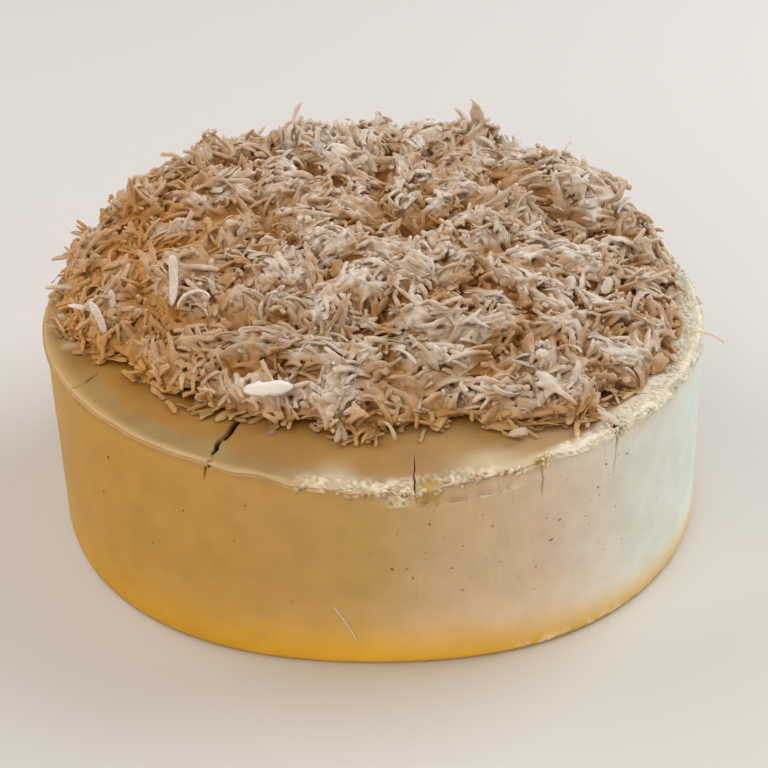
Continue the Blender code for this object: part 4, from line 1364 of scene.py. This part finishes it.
def make_named_shreds():
    """The shreds that stand out by themselves, each at its own place."""
    x, y, lift, heading, tilt, roll, length, width, thickness, bend, twist, tone = np.array(NAMED_SHREDS).T
    count, stations, section = len(x), 14, 6
    ahead, up = np.array((1.0, 0.0, 0.0)), np.array((0.0, 0.0, 1.0))
    along, normal = turn_way(ahead, up, np.radians(heading), np.radians(tilt))
    draw = np.random.default_rng(601)
    sway = np.radians(draw.normal(0.0, 12.0, count))
    frays = [draw.uniform(0.7, 1.15, (2, count, stations + 4)) for _ in range(3)]
    points = strand_points(
        np.stack((x, y, CAKE_HEIGHT + lift), axis=-1),
        roll_way(along, normal, np.radians(roll)),
        along,
        length,
        width,
        thickness,
        stations,
        section,
        bend=np.radians(bend),
        sway=sway,
        twist=np.radians(twist),
        cup=0.15,
        fray=sum(fray[..., 2 * shift : 2 * shift + stations] for shift, fray in enumerate(frays)) / 3.0,
        cut=draw.uniform(0.2, 0.5, (2, count, 2)),
    )
    tone = np.repeat(tone, stations * section)
    mesh = tube_mesh("coconut_named_shreds", points, stations, section)
    link_coconut(mesh, tone, 0.0 * tone, points * (1.0, 1.0, 0.3))


# Settings


def length_of(name, description, length):
    """A length, given in millimetres."""
    return bpy.props.FloatProperty(name=name, description=description, default=length * MM, unit="LENGTH")


def span_of(name, description, low, high):
    """Two lengths, given in millimetres."""
    return bpy.props.FloatVectorProperty(
        name=name, description=description, size=2, default=(low * MM, high * MM), unit="LENGTH"
    )


def number_of(name, description, default, least=0, most=2**31 - 1):
    """A whole number and its limits."""
    return bpy.props.IntProperty(name=name, description=description, default=default, min=least, max=most)


def colour_of(name, description, colour):
    """A colour, given in hex."""
    return bpy.props.FloatVectorProperty(
        name=name, description=description, default=linear(colour), subtype="COLOR", size=3, min=0.0, max=1.0
    )


def power_of(name, description, watts):
    """A light's power, given in watts."""
    return bpy.props.FloatProperty(
        name=name, description=description, default=watts, min=0.0, subtype="POWER"
    )


class CakeSizes(bpy.types.PropertyGroup):
    """Sizes of the buttercream's surface."""

    round_steps: number_of("Steps round", "Stations round the cake", 930, 96, 2000)
    side_step: length_of("Side step", "Height of a row on the side", 2.0)
    edge_round: length_of("Edge rounding", "Stretch of the profile over which corners are rounded", 1.6)


class CoconutSizes(bpy.types.PropertyGroup):
    """Sizes and numbers of the grated coconut."""

    tuft_spacing: length_of("Tuft spacing", "Distance from tuft to tuft", 12.5)
    tuft_rise: length_of("Tuft rise", "Height of the tallest tufts", 7.5)
    in_hollows: bpy.props.FloatProperty(
        name="In hollows", description="Share of shreds that lie in hollows", default=0.3, min=0.0, max=1.0
    )
    core_sink: length_of("Core sink", "Depth of the core under the shreds", 1.1)
    core_steps: number_of("Core steps", "Stations across the core", 160, 32, 310)
    core_inset: length_of("Core inset", "Width by which the shreds overhang the core", 1.5)
    voxel: length_of("Voxel", "Grain of the fused core", 0.6)
    clump_voxel: length_of("Clump voxel", "Grain of the fused clumps", 0.42)
    core_triangles: number_of("Core triangles", "Most triangles of a fused skin", 196000, 1000)
    crease: bpy.props.FloatProperty(
        name="Crease", description="Angle of a sharp edge in degrees", default=75.0
    )
    tuft_shade: span_of("Tuft shade", "Tuft heights between which brown turns to pale", -3.0, 2.4)
    strand_shade: span_of("Strand shade", "Heights over the mean level between which it pales", -2.0, 2.0)
    lumps: number_of("Lumps", "Teams of thick shreds in the core", 1050)
    tips: number_of("Tips", "Teams of raised shreds in the core", 420)
    bundles: number_of("Bundles", "Bundles of narrow shreds", 520)
    standing: number_of("Standing", "Teams of standing shreds", 420)
    broad: number_of("Broad shreds", "Number of broad shreds", 520)
    foot: number_of("Foot", "Teams of thick shreds at the foot", 560)
    narrow: number_of("Narrow shreds", "Teams of narrow shreds", 150)
    short: number_of("Short shreds", "Teams of short shreds", 260)
    fringe: number_of("Fringe", "Teams of shreds at the foot", 420)
    strays: number_of("Strays", "Teams of flat shreds round the foot", 330)
    curls: number_of("Curls", "Number of curled shreds", 110)
    fibres: number_of("Fibres", "Teams of thin fibres", 90)
    bits: number_of("Bits", "Teams of broken bits", 420)


class CakeColours(bpy.types.PropertyGroup):
    """Colours of the buttercream and of the coconut."""

    # From left to right the buttercream's colours are partly its own and partly painted light: warm shade at
    # the left, cool daylight at the right
    golden: colour_of("Golden", "Buttercream at the left", "bb8d35")
    tan: colour_of("Tan", "Buttercream left of the middle", "c09c5c")
    beige: colour_of("Beige", "Buttercream right of the middle", "dfc8af")
    cream: colour_of("Cream", "Buttercream at the right", "e7e8dd")
    pale: colour_of("Pale", "Buttercream at the far right", "dce9dd")
    # Painted light at the base: a yellow glow of light reflected up from below
    painted_glow: colour_of("Glow", "Buttercream at the base, at the left", "bc8c06")
    painted_glow_right: colour_of("Glow right", "Buttercream at the base, at the right", "e8b828")
    # The ledge's colours are darkened partly as painted shade: Stain is palm sugar from the coconut and the
    # heap's painted shade, and Dry is dried skin, darkened the same way
    stain: colour_of("Stain", "Syrup on the ledge", "8a5e20")
    dry: colour_of("Dry", "Dried skin on the ledge near its rim", "8f774c")
    torn: colour_of("Torn", "Torn and crumbly buttercream", "e8dfc8")
    olive: colour_of("Olive", "Hollows of the lip, damp with syrup", "b59a4c")
    # Near black inside a crack: painted shade
    crack: colour_of("Crack", "Inside of a crack", "2e1b0e")
    speck: colour_of("Speck", "Specks of palm sugar", "76552a")
    pit: colour_of("Pit", "Pinholes and specks", "8d6a45")
    coconut_brown: colour_of("Coconut brown", "Darkest shreds", "96642f")
    coconut_tan: colour_of("Coconut tan", "Dark shreds", "a47d50")
    coconut_beige: colour_of("Coconut beige", "Middling shreds", "b9a187")
    coconut_white: colour_of("Coconut white", "Palest shreds", "d6ccc1")
    coconut_flake: colour_of("Coconut flake", "A dry white flake", "efe8de")
    # Brown deep in the heap: partly palm sugar, partly painted shade
    syrup_and_shade: colour_of("Syrup", "Coconut deep in the heap", "d09c58")


class StageSettings(bpy.types.PropertyGroup):
    """Camera and light."""

    camera_place: bpy.props.FloatVectorProperty(
        name="Camera place",
        description="Where the camera stands",
        subtype="TRANSLATION",
        unit="LENGTH",
        default=(0.0013, -0.5917, 0.3926),
    )
    camera_pitch: bpy.props.FloatProperty(
        name="Camera pitch",
        description="How far the camera looks down",
        subtype="ANGLE",
        unit="ROTATION",
        default=math.radians(31.125),
    )
    camera_lens: bpy.props.FloatProperty(
        name="Lens", description="Focal length in millimetres", default=103.125
    )
    key_power: power_of("Key", "Power of the light at the right", 10.0)
    front_power: power_of("Front", "Power of the light at the front", 11.0)
    back_power: power_of("Back", "Power of the light at the back", 5.0)


# Operators


class CAKE_OT_make_frosting(bpy.types.Operator):
    """Make the buttercream round the cake"""

    bl_idname = "cake.make_frosting"
    bl_label = "Make Buttercream"

    def execute(self, context):
        make_frosting(context)
        return {"FINISHED"}


class CAKE_OT_make_crumbs(bpy.types.Operator):
    """Make the crumbs of the lip, and the specks and the stray fibre on the side"""

    bl_idname = "cake.make_crumbs"
    bl_label = "Make Crumbs and Specks"

    def execute(self, context):
        make_crumbs(context)
        make_specks(context)
        make_side_fibre()
        return {"FINISHED"}


class CAKE_OT_make_core(bpy.types.Operator):
    """Make the core of the heap of coconut"""

    bl_idname = "cake.make_core"
    bl_label = "Make Heap Core"

    def execute(self, context):
        sizes = context.scene.coconut_sizes
        core = make_fused("coconut_core", ("lumps", "tips"), 21, sizes.voxel, core_surface(sizes))
        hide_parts("coconut_heap")
        return {"FINISHED"}


class CAKE_OT_make_clumps(bpy.types.Operator):
    """Make the clumps and the blades of shreds that cling together on the heap"""

    bl_idname = "cake.make_clumps"
    bl_label = "Make Clumps"

    def execute(self, context):
        voxel = context.scene.coconut_sizes.clump_voxel
        make_fused("coconut_clumps", ("bundles", "foot"), 31, voxel)
        make_fused("coconut_blades", ("standing", "broad"), 41, voxel)
        return {"FINISHED"}


class CAKE_OT_make_shreds(bpy.types.Operator):
    """Make the narrow and the short shreds of the heap and those at its foot"""

    bl_idname = "cake.make_shreds"
    bl_label = "Make Shreds"

    def execute(self, context):
        make_strands("coconut_narrow_shreds", "narrow", 151, stations=10)
        make_strands("coconut_short_shreds", "short", 201, stations=8)
        make_strands("coconut_fringe", "fringe", 251)
        make_strands("coconut_strays", "strays", 271)
        return {"FINISHED"}


class CAKE_OT_make_curls(bpy.types.Operator):
    """Make the curled shreds and the thin fibres of the heap"""

    bl_idname = "cake.make_curls"
    bl_label = "Make Curls and Fibres"

    def execute(self, context):
        make_strands("coconut_curls", "curls", 301, stations=14)
        make_strands("coconut_fibres", "fibres", 401, section=3)
        return {"FINISHED"}


class CAKE_OT_make_bits(bpy.types.Operator):
    """Make the broken bits of the heap"""

    bl_idname = "cake.make_bits"
    bl_label = "Make Bits"

    def execute(self, context):
        make_strands("coconut_bits", "bits", 501, stations=4, section=5)
        return {"FINISHED"}


class CAKE_OT_make_named_shreds(bpy.types.Operator):
    """Make the shreds that stand out by themselves"""

    bl_idname = "cake.make_named_shreds"
    bl_label = "Make Named Shreds"

    def execute(self, context):
        make_named_shreds()
        return {"FINISHED"}


class CAKE_OT_make_stage(bpy.types.Operator):
    """Make the floor, the lights and the camera"""

    bl_idname = "cake.make_stage"
    bl_label = "Make Stage"

    def execute(self, context):
        make_stage(context)
        return {"FINISHED"}


def make_stage(context):
    """A plain pale floor, soft light from the right, the front and the back, and the camera."""
    scene, stage = context.scene, context.scene.cake_stage
    half = 3.0
    mesh = bpy.data.meshes.new("floor")
    corners = [(-half, -half, 0.0), (half, -half, 0.0), (half, half, 0.0), (-half, half, 0.0)]
    mesh.from_pydata(corners, [], [(0, 1, 2, 3)])
    # Pale painted board, matt
    paint = {"Base Color": linear("cfcdc9"), "Roughness": 0.8}
    mesh.materials.append(make_material("pale_floor", lambda add: paint))
    floor = bpy.data.objects.new("floor", mesh)
    scene.collection.objects.link(floor)
    middle = Vector((0.0, 0.0, 0.04))
    for name, place, size, power, colour in (
        ("key", (0.75, 0.45, 0.75), 0.9, stage.key_power, "fbfbff"),
        ("front", (-0.45, -1.00, 0.95), 1.2, stage.front_power, "fff0dc"),
        ("back", (-0.80, 0.30, 0.80), 0.8, stage.back_power, "f8f6ff"),
    ):
        light = bpy.data.lights.new(name, "AREA")
        light.size, light.energy, light.color = size, power, linear(colour)
        lamp = bpy.data.objects.new(name, light)
        lamp.location = place
        lamp.rotation_euler = (middle - Vector(place)).to_track_quat("-Z", "Y").to_euler()
        scene.collection.objects.link(lamp)
    scene.world = bpy.data.worlds.new("studio")
    scene.world.use_nodes = True
    background = scene.world.node_tree.nodes["Background"]
    background.inputs["Color"].default_value = (*linear("eeeae4"), 1.0)
    background.inputs["Strength"].default_value = 0.4
    scene.view_settings.view_transform = "Standard"
    lens = bpy.data.cameras.new("camera")
    lens.lens, lens.sensor_width = stage.camera_lens, 36.0
    camera = bpy.data.objects.new("camera", lens)
    camera.location = stage.camera_place
    camera.rotation_euler = (0.5 * math.pi - stage.camera_pitch, 0.0, 0.0)
    scene.collection.objects.link(camera)
    scene.camera = camera


class CAKE_PT_pieces(bpy.types.Panel):
    """The pieces of the cake, in the order in which they are made"""

    bl_label = "Ondeh Ondeh Cake"
    bl_space_type = "VIEW_3D"
    bl_region_type = "UI"
    bl_category = "Cake"

    def draw(self, context):
        for step in STEPS:
            self.layout.operator(f"cake.{step}")
        for group in GROUPS:
            settings = getattr(context.scene, group)
            for name in settings.bl_rna.properties.keys():
                if name not in ("rna_type", "name"):
                    self.layout.prop(settings, name)


OPERATORS = (
    CAKE_OT_make_frosting,
    CAKE_OT_make_crumbs,
    CAKE_OT_make_core,
    CAKE_OT_make_clumps,
    CAKE_OT_make_shreds,
    CAKE_OT_make_curls,
    CAKE_OT_make_bits,
    CAKE_OT_make_named_shreds,
    CAKE_OT_make_stage,
)
STEPS = [operator.__name__.removeprefix("CAKE_OT_") for operator in OPERATORS]
GROUPS = {
    "cake_sizes": CakeSizes,
    "coconut_sizes": CoconutSizes,
    "cake_colours": CakeColours,
    "cake_stage": StageSettings,
}
CLASSES = (*GROUPS.values(), *OPERATORS, CAKE_PT_pieces)


def register():
    for kind in CLASSES:
        bpy.utils.register_class(kind)
    for name, group in GROUPS.items():
        setattr(bpy.types.Scene, name, bpy.props.PointerProperty(type=group))


def unregister():
    for name in GROUPS:
        delattr(bpy.types.Scene, name)
    for kind in reversed(CLASSES):
        bpy.utils.unregister_class(kind)


def main():
    register()
    for step in STEPS:
        getattr(bpy.ops.cake, step)()


if __name__ == "__main__":
    main()
